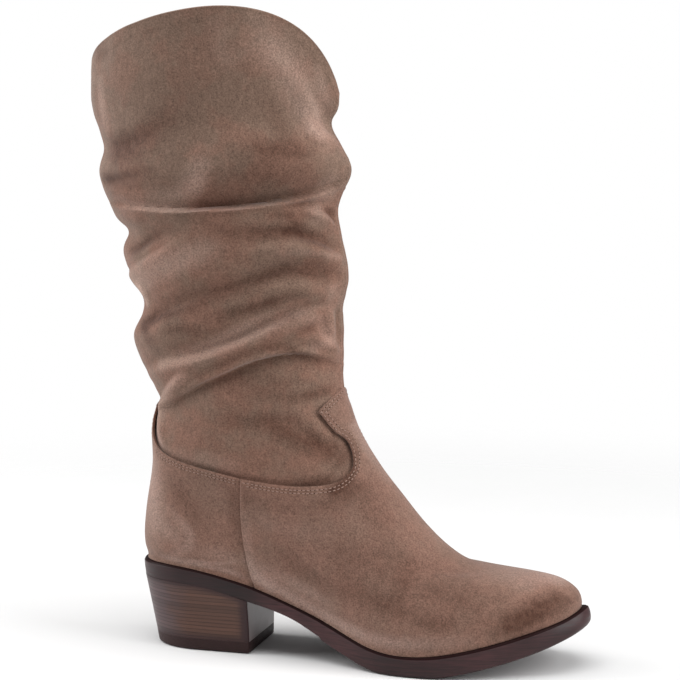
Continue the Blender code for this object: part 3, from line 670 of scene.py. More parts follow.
def lay_points(piece, points):
    """Move the points of a grid to places in boot millimetres."""
    piece.data.vertices.foreach_set("co", in_frame(points).ravel())
    piece.data.update()


def keep_values(piece, name, values):
    """Numbers kept with the points of a piece, for its material to read."""
    layer = piece.data.attributes.new(name, "FLOAT", "POINT")
    layer.data.foreach_set("value", np.asarray(values, np.float32).ravel())


def only(piece):
    """Select one piece alone."""
    bpy.ops.object.select_all(action="DESELECT")
    piece.select_set(True)
    bpy.context.view_layer.objects.active = piece


def close_seams(piece):
    """Merge points that lie on each other and turn the faces outwards."""
    only(piece)
    bpy.ops.object.mode_set(mode="EDIT")
    bpy.ops.mesh.select_all(action="SELECT")
    bpy.ops.mesh.remove_doubles(threshold=MERGED)
    bpy.ops.mesh.dissolve_degenerate(threshold=SLIVER)
    bpy.ops.mesh.normals_make_consistent(inside=False)
    bpy.ops.object.mode_set(mode="OBJECT")


def apply_modifier(piece, kind, **settings):
    """Change a piece by one of Blender's modifiers for good."""
    only(piece)
    modifier = piece.modifiers.new(kind.lower(), kind)
    for name, value in settings.items():
        setattr(modifier, name, value)
    bpy.ops.object.modifier_apply(modifier=modifier.name)


def shade(piece, degrees):
    """Shade a piece smooth, apart from edges sharper than an angle."""
    only(piece)
    bpy.ops.object.shade_smooth_by_angle(angle=math.radians(degrees))


def ring_piece(name, rings, angle, second=None, **kept):
    """A closed piece from rings of points.

    second marks the faces of its second finish by row and column, and kept names numbers at its points.
    """
    piece = start_grid(name, len(rings[0]) - 1, len(rings) - 1)
    lay_points(piece, np.concatenate(rings))
    for key, values in kept.items():
        keep_values(piece, key, np.concatenate(values))
    if second is not None:
        piece.data.polygons.foreach_set("material_index", second.astype(np.int32).ravel())
    close_seams(piece)
    shade(piece, angle)
    return piece


def dress(piece, materials, node=None):
    """Give a finished piece its materials and its body, and hide the solid it stands for."""
    for material in materials:
        piece.data.materials.append(material)
    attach(piece, BODY)
    if node:
        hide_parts(node)


# Materials

# Where a finish changes, in metres of the frame: suede turning grey up the shaft, the ribs of the half sole,
# the painted reflection on the heel's back, the painted light at the foot of the breast, and the floor
# running out
GREY_HEIGHT = (0.27, 0.34)
HALF_SOLE_X, RIB_PITCH = (0.003, 0.006), 3.2 * MM
BACK_REFLECTION_X = (-0.092, -0.066)
BREAST_FOOT_LIGHT = (0.007, 0.026)
FLOOR_CLEARS = (0.24, 0.9)


class Look:
    """A material and short calls that add nodes to it."""

    def __init__(self, name):
        self.material = bpy.data.materials.new(name)
        self.material.use_nodes = True
        self.nodes = self.material.node_tree.nodes
        self.links = self.material.node_tree.links
        self.surface = self.nodes["Principled BSDF"]
        self.place = self.nodes.new("ShaderNodeTexCoord").outputs["Object"]

    def feed(self, socket, value):
        if isinstance(value, bpy.types.NodeSocket):
            self.links.new(value, socket)
        elif socket.type == "RGBA":
            socket.default_value = (*value, 1.0)
        else:
            socket.default_value = value

    def set(self, **values):
        """Plain values and nodes for the shader's own sockets."""
        for name, value in values.items():
            self.feed(self.surface.inputs[name.replace("_", " ")], value)

    def specular(self, level):
        self.feed(self.surface.inputs["Specular IOR Level"], level)

    def noise(self, size, stretch=(1, 1, 1), detail=2.0, roughness=0.5, offset=(0, 0, 0)):
        """Cloudy values round a half, of a size in millimetres, drawn out along the axes by stretch."""
        mapping = self.nodes.new("ShaderNodeMapping")
        self.links.new(self.place, mapping.inputs["Vector"])
        mapping.inputs["Scale"].default_value = [1 / part for part in stretch]
        mapping.inputs["Location"].default_value = offset
        cloud = self.nodes.new("ShaderNodeTexNoise")
        self.links.new(mapping.outputs["Vector"], cloud.inputs["Vector"])
        cloud.inputs["Scale"].default_value = 1 / (size * MM)
        cloud.inputs["Detail"].default_value = detail
        cloud.inputs["Roughness"].default_value = roughness
        return cloud.outputs["Fac"]

    def kept(self, name):
        """Numbers kept with the points of the piece."""
        layer = self.nodes.new("ShaderNodeAttribute")
        layer.attribute_name = name
        return layer.outputs["Fac"]

    def math(self, operation, first, second=0.0, third=0.0):
        step = self.nodes.new("ShaderNodeMath")
        step.operation = operation
        for socket, value in zip(step.inputs, (first, second, third)):
            self.feed(socket, value)
        return step.outputs["Value"]

    def remap(self, value, low, high, to_low=0.0, to_high=1.0):
        step = self.nodes.new("ShaderNodeMapRange")
        step.interpolation_type = "SMOOTHSTEP"
        names = ("Value", "From Min", "From Max", "To Min", "To Max")
        for name, number in zip(names, (value, low, high, to_low, to_high)):
            self.feed(step.inputs[name], number)
        return step.outputs["Result"]

    def blend(self, share, first, second):
        step = self.nodes.new("ShaderNodeMix")
        step.data_type = "RGBA"
        colours = [socket for socket in step.inputs if socket.type == "RGBA"]
        self.feed(step.inputs["Factor"], share)
        self.feed(colours[0], first)
        self.feed(colours[1], second)
        return next(socket for socket in step.outputs if socket.type == "RGBA")

    def strengthen(self, colour, amount):
        """A colour made lighter or darker by a number round 1."""
        step = self.nodes.new("ShaderNodeVectorMath")
        step.operation = "SCALE"
        self.feed(step.inputs["Vector"], colour)
        self.feed(step.inputs["Scale"], amount)
        return step.outputs["Vector"]

    def clouded(self, colour, cloud, span, base):
        """A colour made lighter and darker by cloudy values, from a base over a span."""
        return self.strengthen(colour, self.math("MULTIPLY_ADD", cloud, span, base))

    def axis(self, name):
        step = self.nodes.new("ShaderNodeSeparateXYZ")
        self.links.new(self.place, step.inputs["Vector"])
        return step.outputs[name]

    def bump(self, height, depth, strength=1.0):
        """Relief of a depth in millimetres."""
        step = self.nodes.new("ShaderNodeBump")
        step.inputs["Strength"].default_value = strength
        step.inputs["Distance"].default_value = depth * MM
        self.feed(step.inputs["Height"], height)
        self.set(Normal=step.outputs["Normal"])


def suede(name, warm, grey, lit_and_worn, shade_and_burnish, sheen, streaks):
    """Napped suede: clouds of warm and grey brown, streaks of brushed nap, fine grain, a soft sheen, and the
    painted shade and highlights of its kept tone.
    """
    look = Look(name)
    cloud = look.noise(24, detail=3.0, roughness=0.6)
    mottle = look.noise(5, detail=3.0, roughness=0.6, offset=(0.3, 0.1, 0.2))
    streak = look.noise(2.2, stretch=streaks, detail=4.0, roughness=0.7)
    grain = look.noise(0.95, detail=2.0, roughness=0.6)
    height = look.remap(look.axis("Z"), *GREY_HEIGHT, 0.0, 0.5)
    nap = look.blend(look.math("MULTIPLY_ADD", look.remap(cloud, 0.36, 0.64), 0.9, height), warm, grey)
    light = look.math("MULTIPLY_ADD", mottle, 0.3, -0.2)
    light = look.math("MULTIPLY_ADD", streak, 0.5, light)
    light = look.math("MULTIPLY_ADD", grain, 1.6, light)
    patchy = look.remap(mottle, 0.3, 0.65, 1.15, 0.85)
    tone = look.math("MULTIPLY", look.kept("tone"), patchy)
    # Less tone darkens the nap towards the dark colour and more lightens it towards the pale colour: painted
    # shade and painted highlights, with real burnished and rubbed nap in a few places
    darker = look.math("MAXIMUM", look.math("MULTIPLY", tone, -1.7), 0.0)
    lighter = look.math("MAXIMUM", look.math("MULTIPLY", tone, 0.5), 0.0)
    colour = look.blend(darker, nap, shade_and_burnish)
    colour = look.strengthen(look.blend(lighter, colour, lit_and_worn), light)
    look.set(Base_Color=colour, Roughness=0.95, Sheen_Weight=0.3, Sheen_Roughness=0.45)
    look.set(Sheen_Tint=sheen)
    look.specular(0.12)
    look.bump(look.math("MULTIPLY_ADD", grain, 0.7, look.math("MULTIPLY", streak, 0.6)), 0.5, 0.6)
    return look.material


def lining_leather(colours):
    """Smooth lining leather with fine pores."""
    look = Look("lining leather")
    cloud = look.noise(18, detail=3.0)
    pore = look.noise(0.8, detail=2.0)
    tint = look.clouded(colours.lining, cloud, 0.3, 0.85)
    look.set(Base_Color=tint, Roughness=look.remap(pore, 0.3, 0.7, 0.55, 0.7))
    look.specular(0.3)
    look.bump(pore, 0.12, 0.5)
    return look.material


def sewing_thread(colours):
    """Twisted thread."""
    look = Look("sewing thread")
    twist = look.noise(0.35, detail=1.0)
    tint = look.clouded(colours.thread, twist, 0.5, 0.75)
    look.set(Base_Color=tint, Roughness=0.7)
    look.specular(0.2)
    look.bump(twist, 0.08, 0.6)
    return look.material


def needle_hole(colours):
    """Painted shade of the needle hole at each end of a stitch: a dark pinch."""
    look = Look("needle hole")
    hole_shade = look.noise(1.0)
    tint = look.clouded(colours.shade_and_burnish, hole_shade, 0.4, 0.3)
    look.set(Base_Color=tint, Roughness=1.0)
    look.specular(0.0)
    return look.material


def sole_edge(colours):
    """Dyed and waxed sole edge, brushed along its length, with a dark matt rim under the upper."""
    look = Look("waxed sole edge")
    brush = look.noise(1.2, stretch=(14, 14, 0.7), detail=3.0, roughness=0.6)
    cloud = look.noise(16, detail=3.0)
    rim = look.kept("rim")
    tint = look.clouded(colours.sole_edge, brush, 2.2, -0.1)
    tint = look.clouded(tint, cloud, 0.7, 0.65)
    tint = look.strengthen(tint, look.kept("wear"))
    tint = look.blend(rim, tint, colours.sole_rim)
    look.set(Base_Color=tint, Roughness=look.remap(brush, 0.3, 0.7, 0.36, 0.56))
    look.set(Coat_Weight=look.remap(rim, 0.0, 1.0, 0.08, 0.0), Coat_Roughness=0.3)
    look.specular(look.remap(rim, 0.0, 1.0, 0.27, 0.05))
    look.bump(brush, 0.1, 0.5)
    return look.material


def sole_tread_look(colours):
    """Worn resin tread with fine grooves across the half-sole."""
    look = Look("sole tread")
    wear = look.noise(14, detail=4.0, roughness=0.6)
    grain = look.noise(0.7)
    place_x = look.axis("X")
    groove = look.math("ABSOLUTE", look.math("SINE", look.math("MULTIPLY", place_x, math.pi / RIB_PITCH)))
    half_sole = look.remap(place_x, *HALF_SOLE_X)
    ribs = look.math("MULTIPLY", look.remap(groove, 0.0, 0.5), half_sole)
    tint = look.clouded(colours.sole_edge, wear, 1.4, 0.7)
    look.set(Base_Color=tint, Roughness=look.remap(wear, 0.3, 0.7, 0.55, 0.8))
    look.specular(0.3)
    look.bump(look.math("MULTIPLY_ADD", grain, 0.25, ribs), 0.4, 0.7)
    return look.material


def stacked_layers(colours, layer):
    """A stack of thin leather layers: uneven stripes with dark joints, turning darker purple-grey to the
    back, a painted reflection.
    """
    look = Look("stacked leather")
    height = look.axis("Z")
    place_x = look.axis("X")
    sway = look.noise(30, detail=1.0)
    level = look.math("DIVIDE", look.math("MULTIPLY_ADD", sway, 0.0014, height), layer)
    joint = look.math("ABSOLUTE", look.math("SUBTRACT", look.math("FRACT", level), 0.5))
    line = look.remap(joint, 0.3, 0.5)
    dye = look.nodes.new("ShaderNodeTexWhiteNoise")
    dye.noise_dimensions = "1D"
    look.feed(dye.inputs["W"], look.math("FLOOR", level))
    stripe = look.noise(1.0, stretch=(26, 26, 0.55), detail=3.0, roughness=0.7)
    cloud = look.noise(13, detail=2.0)
    # Purple-grey towards the back: painted reflection of the lamp on the layers
    back = look.math("MULTIPLY_ADD", cloud, 0.03, place_x)
    back_reflection = look.remap(back, *BACK_REFLECTION_X, 1.0, 0.0)
    tint = look.blend(back_reflection, colours.stack_front, colours.stack_back_reflected)
    tint = look.clouded(tint, stripe, 1.2, 0.4)
    tint = look.clouded(tint, dye.outputs["Value"], 0.4, 0.8)
    tint = look.clouded(tint, line, -0.5, 1.0)
    tint = look.blend(look.kept("rim"), tint, colours.sole_edge)
    look.set(Base_Color=tint, Roughness=look.remap(stripe, 0.3, 0.7, 0.42, 0.6))
    look.set(Coat_Weight=0.22, Coat_Roughness=0.26)
    look.specular(0.22)
    look.bump(look.math("MULTIPLY_ADD", line, -0.8, stripe), 0.15, 0.6)
    return look.material


def breast_finish(colours):
    """Smooth dyed leather on the front face of the heel, pale grey as a painted reflection, and lighter
    towards its foot as painted light.
    """
    look = Look("heel breast")
    cloud = look.noise(9, detail=3.0)
    tint = look.clouded(colours.breast, cloud, 0.5, 0.75)
    # Lighter towards the foot of the breast: painted light
    tint = look.strengthen(tint, look.remap(look.axis("Z"), *BREAST_FOOT_LIGHT, 1.5, 1.0))
    look.set(Base_Color=tint, Roughness=0.42, Coat_Weight=0.2, Coat_Roughness=0.35)
    look.bump(look.noise(1.5, detail=2.0), 0.06, 0.4)
    return look.material


def heel_rubber(colours):
    """Dense dark rubber, scuffed matt where it treads."""
    look = Look("heel rubber")
    cloud = look.noise(8, detail=3.0)
    scuff = look.noise(0.8, detail=2.0)
    tint = look.clouded(colours.rubber, cloud, 0.6, 0.7)
    look.set(Base_Color=tint, Roughness=look.remap(scuff, 0.3, 0.7, 0.45, 0.65))
    look.specular(0.25)
    look.bump(scuff, 0.1, 0.5)
    return look.material


def pale_floor(colours):
    """A pale studio floor that runs out into the light of the room."""
    look = Look("pale floor")
    far = look.nodes.new("ShaderNodeVectorMath")
    far.operation = "LENGTH"
    look.links.new(look.place, far.inputs[0])
    dust = look.noise(60, detail=2.0)
    tint = look.clouded(colours.floor, dust, 0.02, 0.99)
    look.set(Base_Color=tint, Roughness=0.9)
    look.specular(0.1)
    clear = look.nodes.new("ShaderNodeBsdfTransparent")
    both = look.nodes.new("ShaderNodeMixShader")
    look.feed(both.inputs["Fac"], look.remap(far.outputs["Value"], *FLOOR_CLEARS))
    look.links.new(look.surface.outputs["BSDF"], both.inputs[1])
    look.links.new(clear.outputs["BSDF"], both.inputs[2])
    look.links.new(both.outputs["Shader"], look.nodes["Material Output"].inputs["Surface"])
    return look.material


# Settings


class BootSizes(bpy.types.PropertyGroup):
    """Small sizes of the sewing and the heel."""

    stitch_length: bpy.props.FloatProperty(
        name="Stitch Length", description="Length of one stitch that shows", default=1.9 * MM, unit="LENGTH")
    stitch_gap: bpy.props.FloatProperty(
        name="Stitch Gap", description="Room between two stitches", default=0.75 * MM, unit="LENGTH")
    stitch_width: bpy.props.FloatProperty(
        name="Stitch Width", description="Width of the thread", default=0.62 * MM, unit="LENGTH")
    first_row: bpy.props.FloatProperty(
        name="First Row", description="From a cut edge to its first row", default=2.1 * MM, unit="LENGTH")
    second_row: bpy.props.FloatProperty(
        name="Second Row", description="From a cut edge to its second row", default=3.9 * MM, unit="LENGTH")
    heel_layer: bpy.props.FloatProperty(
        name="Heel Layer", description="Thickness of one layer of the stacked heel", default=2.3 * MM,
        unit="LENGTH")


class BootColours(bpy.types.PropertyGroup):
    """Colours of the boot and its stage."""

    shaft_warm: bpy.props.FloatVectorProperty(
        name="Shaft Warm", description="Warm brown of the shaft", subtype="COLOR",
        default=(0.2095, 0.1132, 0.0822))
    shaft_grey: bpy.props.FloatVectorProperty(
        name="Shaft Grey", description="Grey brown of the shaft", subtype="COLOR",
        default=(0.1875, 0.1202, 0.0892))
    foot_warm: bpy.props.FloatVectorProperty(
        name="Foot Warm", description="Warm brown of the foot", subtype="COLOR",
        default=(0.2065, 0.1142, 0.0853))
    foot_grey: bpy.props.FloatVectorProperty(
        name="Foot Grey", description="Grey brown of the foot", subtype="COLOR",
        default=(0.191, 0.1142, 0.0859))
    sheen: bpy.props.FloatVectorProperty(
        name="Nap Sheen", description="Light caught by the tips of the nap", subtype="COLOR",
        default=(0.78, 0.71, 0.68))
    # Painted highlight colour of the shaft's nap
    shaft_highlight: bpy.props.FloatVectorProperty(
        name="Shaft Highlight", description="Painted highlight on the shaft's nap", subtype="COLOR",
        default=(0.57, 0.395, 0.325))
    # Painted highlight colour of the foot's nap, also used for a few real rubbed places
    foot_lit_and_worn: bpy.props.FloatVectorProperty(
        name="Foot Lit And Worn", description="Painted highlight and rubbed nap of the foot", subtype="COLOR",
        default=(0.57, 0.420, 0.365))
    # Painted shade of folds, creases and needle holes, and the real burnished nap at the toe
    shade_and_burnish: bpy.props.FloatVectorProperty(
        name="Shade And Burnish", description="Painted shade and dark burnished nap", subtype="COLOR",
        default=(0.085, 0.040, 0.027))
    thread: bpy.props.FloatVectorProperty(
        name="Thread", description="Sewing thread", subtype="COLOR",
        default=(0.29, 0.190, 0.152))
    lining: bpy.props.FloatVectorProperty(
        name="Lining", description="Lining leather inside the boot", subtype="COLOR",
        default=(0.36, 0.25, 0.17))
    sole_edge: bpy.props.FloatVectorProperty(
        name="Sole Edge", description="Waxed edge of the sole", subtype="COLOR",
        default=(0.028, 0.0102, 0.0110))
    sole_rim: bpy.props.FloatVectorProperty(
        name="Sole Rim", description="Dark rim of the sole under the upper", subtype="COLOR",
        default=(0.016, 0.006, 0.006))
    stack_front: bpy.props.FloatVectorProperty(
        name="Stack Front", description="Heel layers towards the breast", subtype="COLOR",
        default=(0.088, 0.0405, 0.0275))
    # Purple-grey of the back layers: painted reflection
    stack_back_reflected: bpy.props.FloatVectorProperty(
        name="Stack Back", description="Heel layers at the back, purple-grey as a painted reflection", subtype="COLOR",
        default=(0.078, 0.048, 0.049))
    # Pale grey of the breast: painted reflection of the lamps and floor
    breast: bpy.props.FloatVectorProperty(
        name="Heel Breast", description="Front face of the heel", subtype="COLOR",
        default=(0.134, 0.108, 0.108))
    rubber: bpy.props.FloatVectorProperty(
        name="Heel Rubber", description="Top piece under the heel", subtype="COLOR",
        default=(0.027, 0.0105, 0.0100))
    floor: bpy.props.FloatVectorProperty(
        name="Floor", description="Studio floor", subtype="COLOR", default=(0.72, 0.72, 0.72))
    room: bpy.props.FloatVectorProperty(
        name="Room", description="Light of the room far from the boot", subtype="COLOR",
        default=(1.0, 1.0, 1.0))


class BootStage(bpy.types.PropertyGroup):
    """Light and camera."""

    lens: bpy.props.FloatProperty(
        name="Lens", description="Focal length on a 36 mm frame", default=96.72, unit="CAMERA")
    top_power: bpy.props.FloatProperty(
        name="Top Light", description="Power of the panel overhead", default=23.5, unit="POWER")
    side_power: bpy.props.FloatProperty(
        name="Side Lights", description="Power of each side panel", default=22.0, unit="POWER")
    room_strength: bpy.props.FloatProperty(
        name="Room Light", description="Strength of the light from all round", default=0.28,
        subtype="FACTOR")


# Pieces

# Grids: columns round the boot, the turns they span, row steps in millimetres and numbers of rows
SHAFT_COLUMNS, SHAFT_STEP = 224, 0.9
FIRST_OPEN_ROW, HIDDEN_ROWS, INNER_ROW_STEP = 9.0, 22, 6
INNER_REACH_COLUMNS = 3
LIP_STEPS, LIP_ROWS = 5, 0.03
VAMP_COLUMNS, VAMP_STEP, VAMP_TURNS = 330, 1.25, (0.17, 0.83)
COUNTER_COLUMNS, COUNTER_STEP, COUNTER_TURNS = 180, 1.2, (-0.27, 0.27)
OVERLAY_TOP_ROW = 15.0
SOLE_COLUMNS, INSOLE_COLUMNS = 240, 160
HEEL_SIDE_POINTS, HEEL_CORNER_POINTS, HEEL_BREAST_POINTS = 44, 5, 18
HEEL_LEVELS = 18

# Edges sharper than these angles stay sharp
SUEDE_ANGLE, SOLE_ANGLE, HEEL_ANGLE, SOCK_ANGLE = 60, 40, 35, 50

# The front peak of the vamp in the side view, where shaft and vamp lie flush
PEAK_BACK, PEAK_FOOT, PEAK_TOP = Fade(117.0, 9.0), Fade(148.0, 8.0), Fade(184.0, -16.0)

# Skin of the shaft: bulges and hollows fade towards the foot pieces, and all folds and tones towards the
# seams. The skin dips under a sewn edge. Unevenness has a size and a height.
BULGE_FADE, HOLLOW_FADE = Fade(0.0, 9.0), Fade(-2.0, 6.0)
FOLD_SEAM_SHARE, TONE_SEAM_SHARE = 0.32, 0.45
SHAFT_RIPPLES, SHAFT_RIPPLE_FADE = [(24.0, 0.7), (9.0, 0.25)], Fade(0.0, 8.0)
DIP_DEPTH, DIP_WIDTH = 1.1, 3.2

# Turned hem of the collar, darker along its top edge, and the seams at the back and the front: a groove
# between two swells, with painted shade in the groove
HEM_DEPTH, HEM_HEIGHT, HEM_SLOPE = 8.5, 0.25, 4.0
HEM_TONE, HEM_TONE_DEPTH = 0.22, 3.0
SEAM_TURNS = (0.0, 0.5)
SWELL_HEIGHT, SWELL_AT, SWELL_WIDTH = 0.35, 2.4, 1.4
GROOVE_DEPTH, GROOVE_WIDTH = 0.55, 0.9
GROOVE_SHADE, GROOVE_SHADE_WIDTH = 0.12, 0.8

# Foot pieces: rounded cut edge with painted shade along it, laps at the side seam, sunk stitches, unevenness
# and darker sewing
CUT_ROUND, CUT_ROUND_WIDTH = 0.5, 1.3
CUT_BEVEL, CUT_ANGLE, CUT_SLACK = 0.3, 55, 0.05
PEAK_SINK = 0.6
VAMP_LAP, COUNTER_LAP, LAP_WIDTH = 0.35, -0.45, 9.0
STITCH_SINK, STITCH_SINK_WIDTH, SIDE_SEAM_CLEAR = 0.22, 0.7, 3.0
FOOT_RIPPLE, FOOT_RIPPLE_FADE, FEATHER_FADE = (26.0, 0.45), Fade(0.0, 12.0), Fade(2.0, 10.0)
CUT_SHADE, CUT_SHADE_WIDTH = 0.06, 1.2
SEWN_TONE, SEWN_AT, SEWN_WIDTH = 0.06, 3.3, 2.4

# Stitches: how flat the thread lies and how high, and the size of a needle hole against gap and thread
THREAD_FLATNESS, THREAD_LIFT = 0.7, 0.02
HOLE_LENGTH, HOLE_WIDTH, HOLE_DEPTH = 0.95, 1.05, 0.12

# Rows of stitches: the break after which a row starts anew, its steps between two points of an edge, how
# much nearer than its inset it may come to the edge, and how far beside the boot its places are sought
ROW_BREAK, ROW_STEPS, ROW_SLACK = 5.0, 24, 0.2
BESIDE = 150.0

# Sole and heel: where the sole's side takes the insets of foot and toe, the close turns at the tread's
# step, the gap at the seat, and the dark rims of the stack
SOLE_FOOT, SOLE_TOE = Fade(HEEL_BREAST_X, 14.0), Fade(250.0, 26.0)
STEP_BEFORE, STEP_AFTER = 0.0012, 0.0008
SEAT_GAP = 0.05
RIM_TONE, RIM_HEIGHT = 0.9, 4.5
CORNER_RIM = Fade(HEEL_BREAST_X - 7.5, 5.0)

# Top piece: heights of its rings and how far each is drawn in. Sock: fill and lift of its rings
TOP_PIECE_RINGS = [(0.0, 0.8), (0.25, 0.3), (0.8, 0.0), (2.5, 0.0), (5.0, 0.0), (TOP_PIECE_HEIGHT, 0.0)]
SOCK_INSET = UPPER_WALL + CLEARANCE + 0.4
SOCK_RINGS = [
    (0.0, 0.3), (0.6, 0.3), (0.97, 0.3), (1.0, 0.8), (1.0, 1.6), (0.975, 2.2), (0.9, 2.3), (0.6, 2.3),
    (0.0, 2.3),
]


def spread_low(values, reach_rows, reach_columns):
    """Lowest value near each place of a grid that closes round its columns, then softened."""
    lowest = values.copy()
    for shift in range(-reach_columns, reach_columns + 1):
        lowest = np.minimum(lowest, np.roll(values, shift, axis=1))
    padded = np.pad(lowest, ((reach_rows, reach_rows), (0, 0)), mode="edge")
    count = len(values)
    lowest = np.min([padded[k:k + count] for k in range(2 * reach_rows + 1)], axis=0)
    padded = np.pad(lowest, ((reach_rows, reach_rows), (0, 0)), mode="edge")
    soft = np.mean([padded[k:k + count] for k in range(2 * reach_rows + 1)], axis=0)
    around = range(-reach_columns, reach_columns + 1)
    return np.mean([np.roll(soft, shift, axis=1) for shift in around], axis=0)


def near_peak(points):
    """How near points are to the front peak of the vamp, where shaft and vamp lie flush."""
    x, z = points[:, 0], points[:, 2]
    return fade(PEAK_BACK, x) * fade(PEAK_FOOT, z) * fade(PEAK_TOP, z)


def shaft_shift(turn, row, base):
    """How far the shaft's skin is moved by folds, hem and seams, and the tone of its nap, mostly painted
    shade and highlights.
    """
    x, z = base[:, 0], base[:, 2]
    inner = (turn % 1.0) > 0.5
    sideways = np.abs(np.sin(2 * np.pi * turn))
    shift, tone = creased(x, z, inner)
    cover = np.minimum(outline_distance(vamp_outline(), x, z), outline_distance(counter_outline(), x, z))
    near_foot = np.where(shift > 0, fade(BULGE_FADE, cover), fade(HOLLOW_FADE, cover))
    shift *= ease(sideways / FOLD_SEAM_SHARE) * near_foot
    shift += sum(ripple(base, *wave) for wave in SHAFT_RIPPLES) * fade(SHAFT_RIPPLE_FADE, cover)
    shift -= DIP_DEPTH * bell(cover, DIP_WIDTH) * (1 - near_peak(base))
    below = skin(turn, np.full(turn.size, COLLAR_ROW))[:, 2] - z
    shift += HEM_HEIGHT * ease((HEM_DEPTH - below) / HEM_SLOPE + 0.5)
    tone -= HEM_TONE * ease(1 - below / HEM_TONE_DEPTH)
    for seam_turn in SEAM_TURNS:
        away = np.linalg.norm(base - skin(np.full(turn.size, seam_turn), row), axis=1)
        shift += SWELL_HEIGHT * bell(away - SWELL_AT, SWELL_WIDTH) - GROOVE_DEPTH * bell(away, GROOVE_WIDTH)
        # Painted shade in the groove of the seam
        tone -= GROOVE_SHADE * bell(away, GROOVE_SHADE_WIDTH)
    # Strokes of painted light and shade, with a few of real rubbed nap
    tone += np.where(inner, side_strokes(INNER_TONES, x, z), side_strokes(SHAFT_TONES, x, z))
    return shift, tone * ease(sideways / TONE_SEAM_SHARE)


def lining_shift(shift):
    """How far the inside of the shaft is moved: clear of the creases, with the wall between."""
    inside = spread_low(shift[:, :-1], INNER_ROW_STEP, INNER_REACH_COLUMNS)
    return np.hstack([inside, inside[:, :1]]) - UPPER_WALL


def collar_lip(outer, inner, facing):
    """Rings that round the collar's edge from the outer skin to the lining."""
    upward = outer[-1] - outer[-3]
    upward /= np.linalg.norm(upward, axis=1)[:, None]
    middle = (outer[-1] + inner[-1]) / 2
    rings = []
    for step in range(1, LIP_STEPS + 1):
        angle = math.pi * step / (LIP_STEPS + 1)
        rings.append(middle + UPPER_WALL / 2 * (math.cos(angle) * facing[-1] + math.sin(angle) * upward))
    return np.array(rings)


class BOOT_OT_shaft(bpy.types.Operator):
    """Slack suede shaft with its folds, turned hem and lining, as one closed wall"""

    bl_idname = "boot.shaft"
    bl_label = "Shaft"

    def execute(self, context):
        colours = context.scene.boot_colours
        hidden = np.linspace(0, FIRST_OPEN_ROW, HIDDEN_ROWS + 1)[:-1]
        rows = np.concatenate([hidden, even_rows(FIRST_OPEN_ROW, COLLAR_ROW - LIP_ROWS, SHAFT_STEP)])
        turns = np.arange(SHAFT_COLUMNS + 1) / SHAFT_COLUMNS
        row, turn = (grid.ravel() for grid in np.meshgrid(rows, turns, indexing="ij"))
        shape = (len(rows), len(turns), 3)
        base = skin(turn, row)
        facing = skin_normals(turn, row).reshape(shape)
        shift, tone = shaft_shift(turn, row, base)
        shift, tone = shift.reshape(shape[:2]), tone.reshape(shape[:2])
        base = base.reshape(shape)
        outer = base + facing * shift[..., None]
        inner = base + facing * lining_shift(shift)[..., None]
        inner[-1] = outer[-1] - facing[-1] * UPPER_WALL
        lip = collar_lip(outer, inner, facing)
        open_rows = set(range(HIDDEN_ROWS, len(rows), INNER_ROW_STEP))
        inner_rows = sorted(set(range(HIDDEN_ROWS)) | open_rows | {len(rows) - 1}, reverse=True)
        points = np.concatenate([outer, lip, inner[inner_rows], outer[:1]])
        tones = np.zeros(points.shape[:2])
        tones[:len(rows)] = tone
        lined = np.zeros((len(points) - 1, SHAFT_COLUMNS))
        lined[len(rows) + LIP_STEPS:] = 1
        piece = ring_piece("shaft", points, SUEDE_ANGLE, lined, tone=tones)
        shaft_suede = suede(
            "shaft suede", colours.shaft_warm, colours.shaft_grey, colours.shaft_highlight, colours.shade_and_burnish,
            colours.sheen, (1, 1, 4.5))
        dress(piece, [shaft_suede, lining_leather(colours)], "upper")
        return {"FINISHED"}


def snap_to_outline(turn, row, outline):
    """Move grid points next to an outline onto it. Gives the new places and which points stay."""
    def side_view(turns, rows):
        points = skin(turns.ravel(), rows.ravel())
        return outline_distance(outline, points[:, 0], points[:, 2]).reshape(turns.shape)

    away = side_view(turn, row)
    halfway, further = 0.5, 0.5001
    nearest = np.full(turn.shape, further)
    new_turn, new_row = turn.copy(), row.copy()
    for axis, step in ((0, 1), (0, -1), (1, 1), (1, -1)):
        beside = np.roll(away, -step, axis=axis)
        ends = [slice(None), slice(None)]
        ends[axis] = -1 if step > 0 else 0
        beside[tuple(ends)] = away[tuple(ends)]
        share = np.abs(away) / (np.abs(away) + np.abs(beside) + 1e-9)
        better = ((away < 0) != (beside < 0)) & (share < nearest)
        nearest = np.where(better, share, nearest)
        new_turn = np.where(better, turn + share * (np.roll(turn, -step, axis=axis) - turn), new_turn)
        new_row = np.where(better, row + share * (np.roll(row, -step, axis=axis) - row), new_row)
    snapped = nearest <= halfway
    return new_turn, new_row, snapped, snapped | (away < 0)


def trim_faces(piece, stays):
    """Delete the points that lie outside, after cutting the corners of faces on the line."""
    shape = bmesh.new()
    shape.from_mesh(piece.data)
    shape.verts.ensure_lookup_table()
    for face in list(shape.faces):
        outside = [loop for loop in face.loops if not stays[loop.vert.index]]
        if len(outside) == 1 and len(face.verts) == 4:
            before, after = outside[0].link_loop_prev.vert, outside[0].link_loop_next.vert
            bmesh.utils.face_split(face, before, after)
    bmesh.ops.delete(shape, geom=[vert for vert in shape.verts if not stays[vert.index]], context="VERTS")
    shape.to_mesh(piece.data)
    shape.free()


def edge_distances(points, edge_points):
    """How far each point is from the nearest of the points along an edge."""
    tree = kdtree.KDTree(len(edge_points))
    for number, point in enumerate(edge_points):
        tree.insert(point, number)
    tree.balance()
    return np.array([tree.find(point)[2] for point in points])


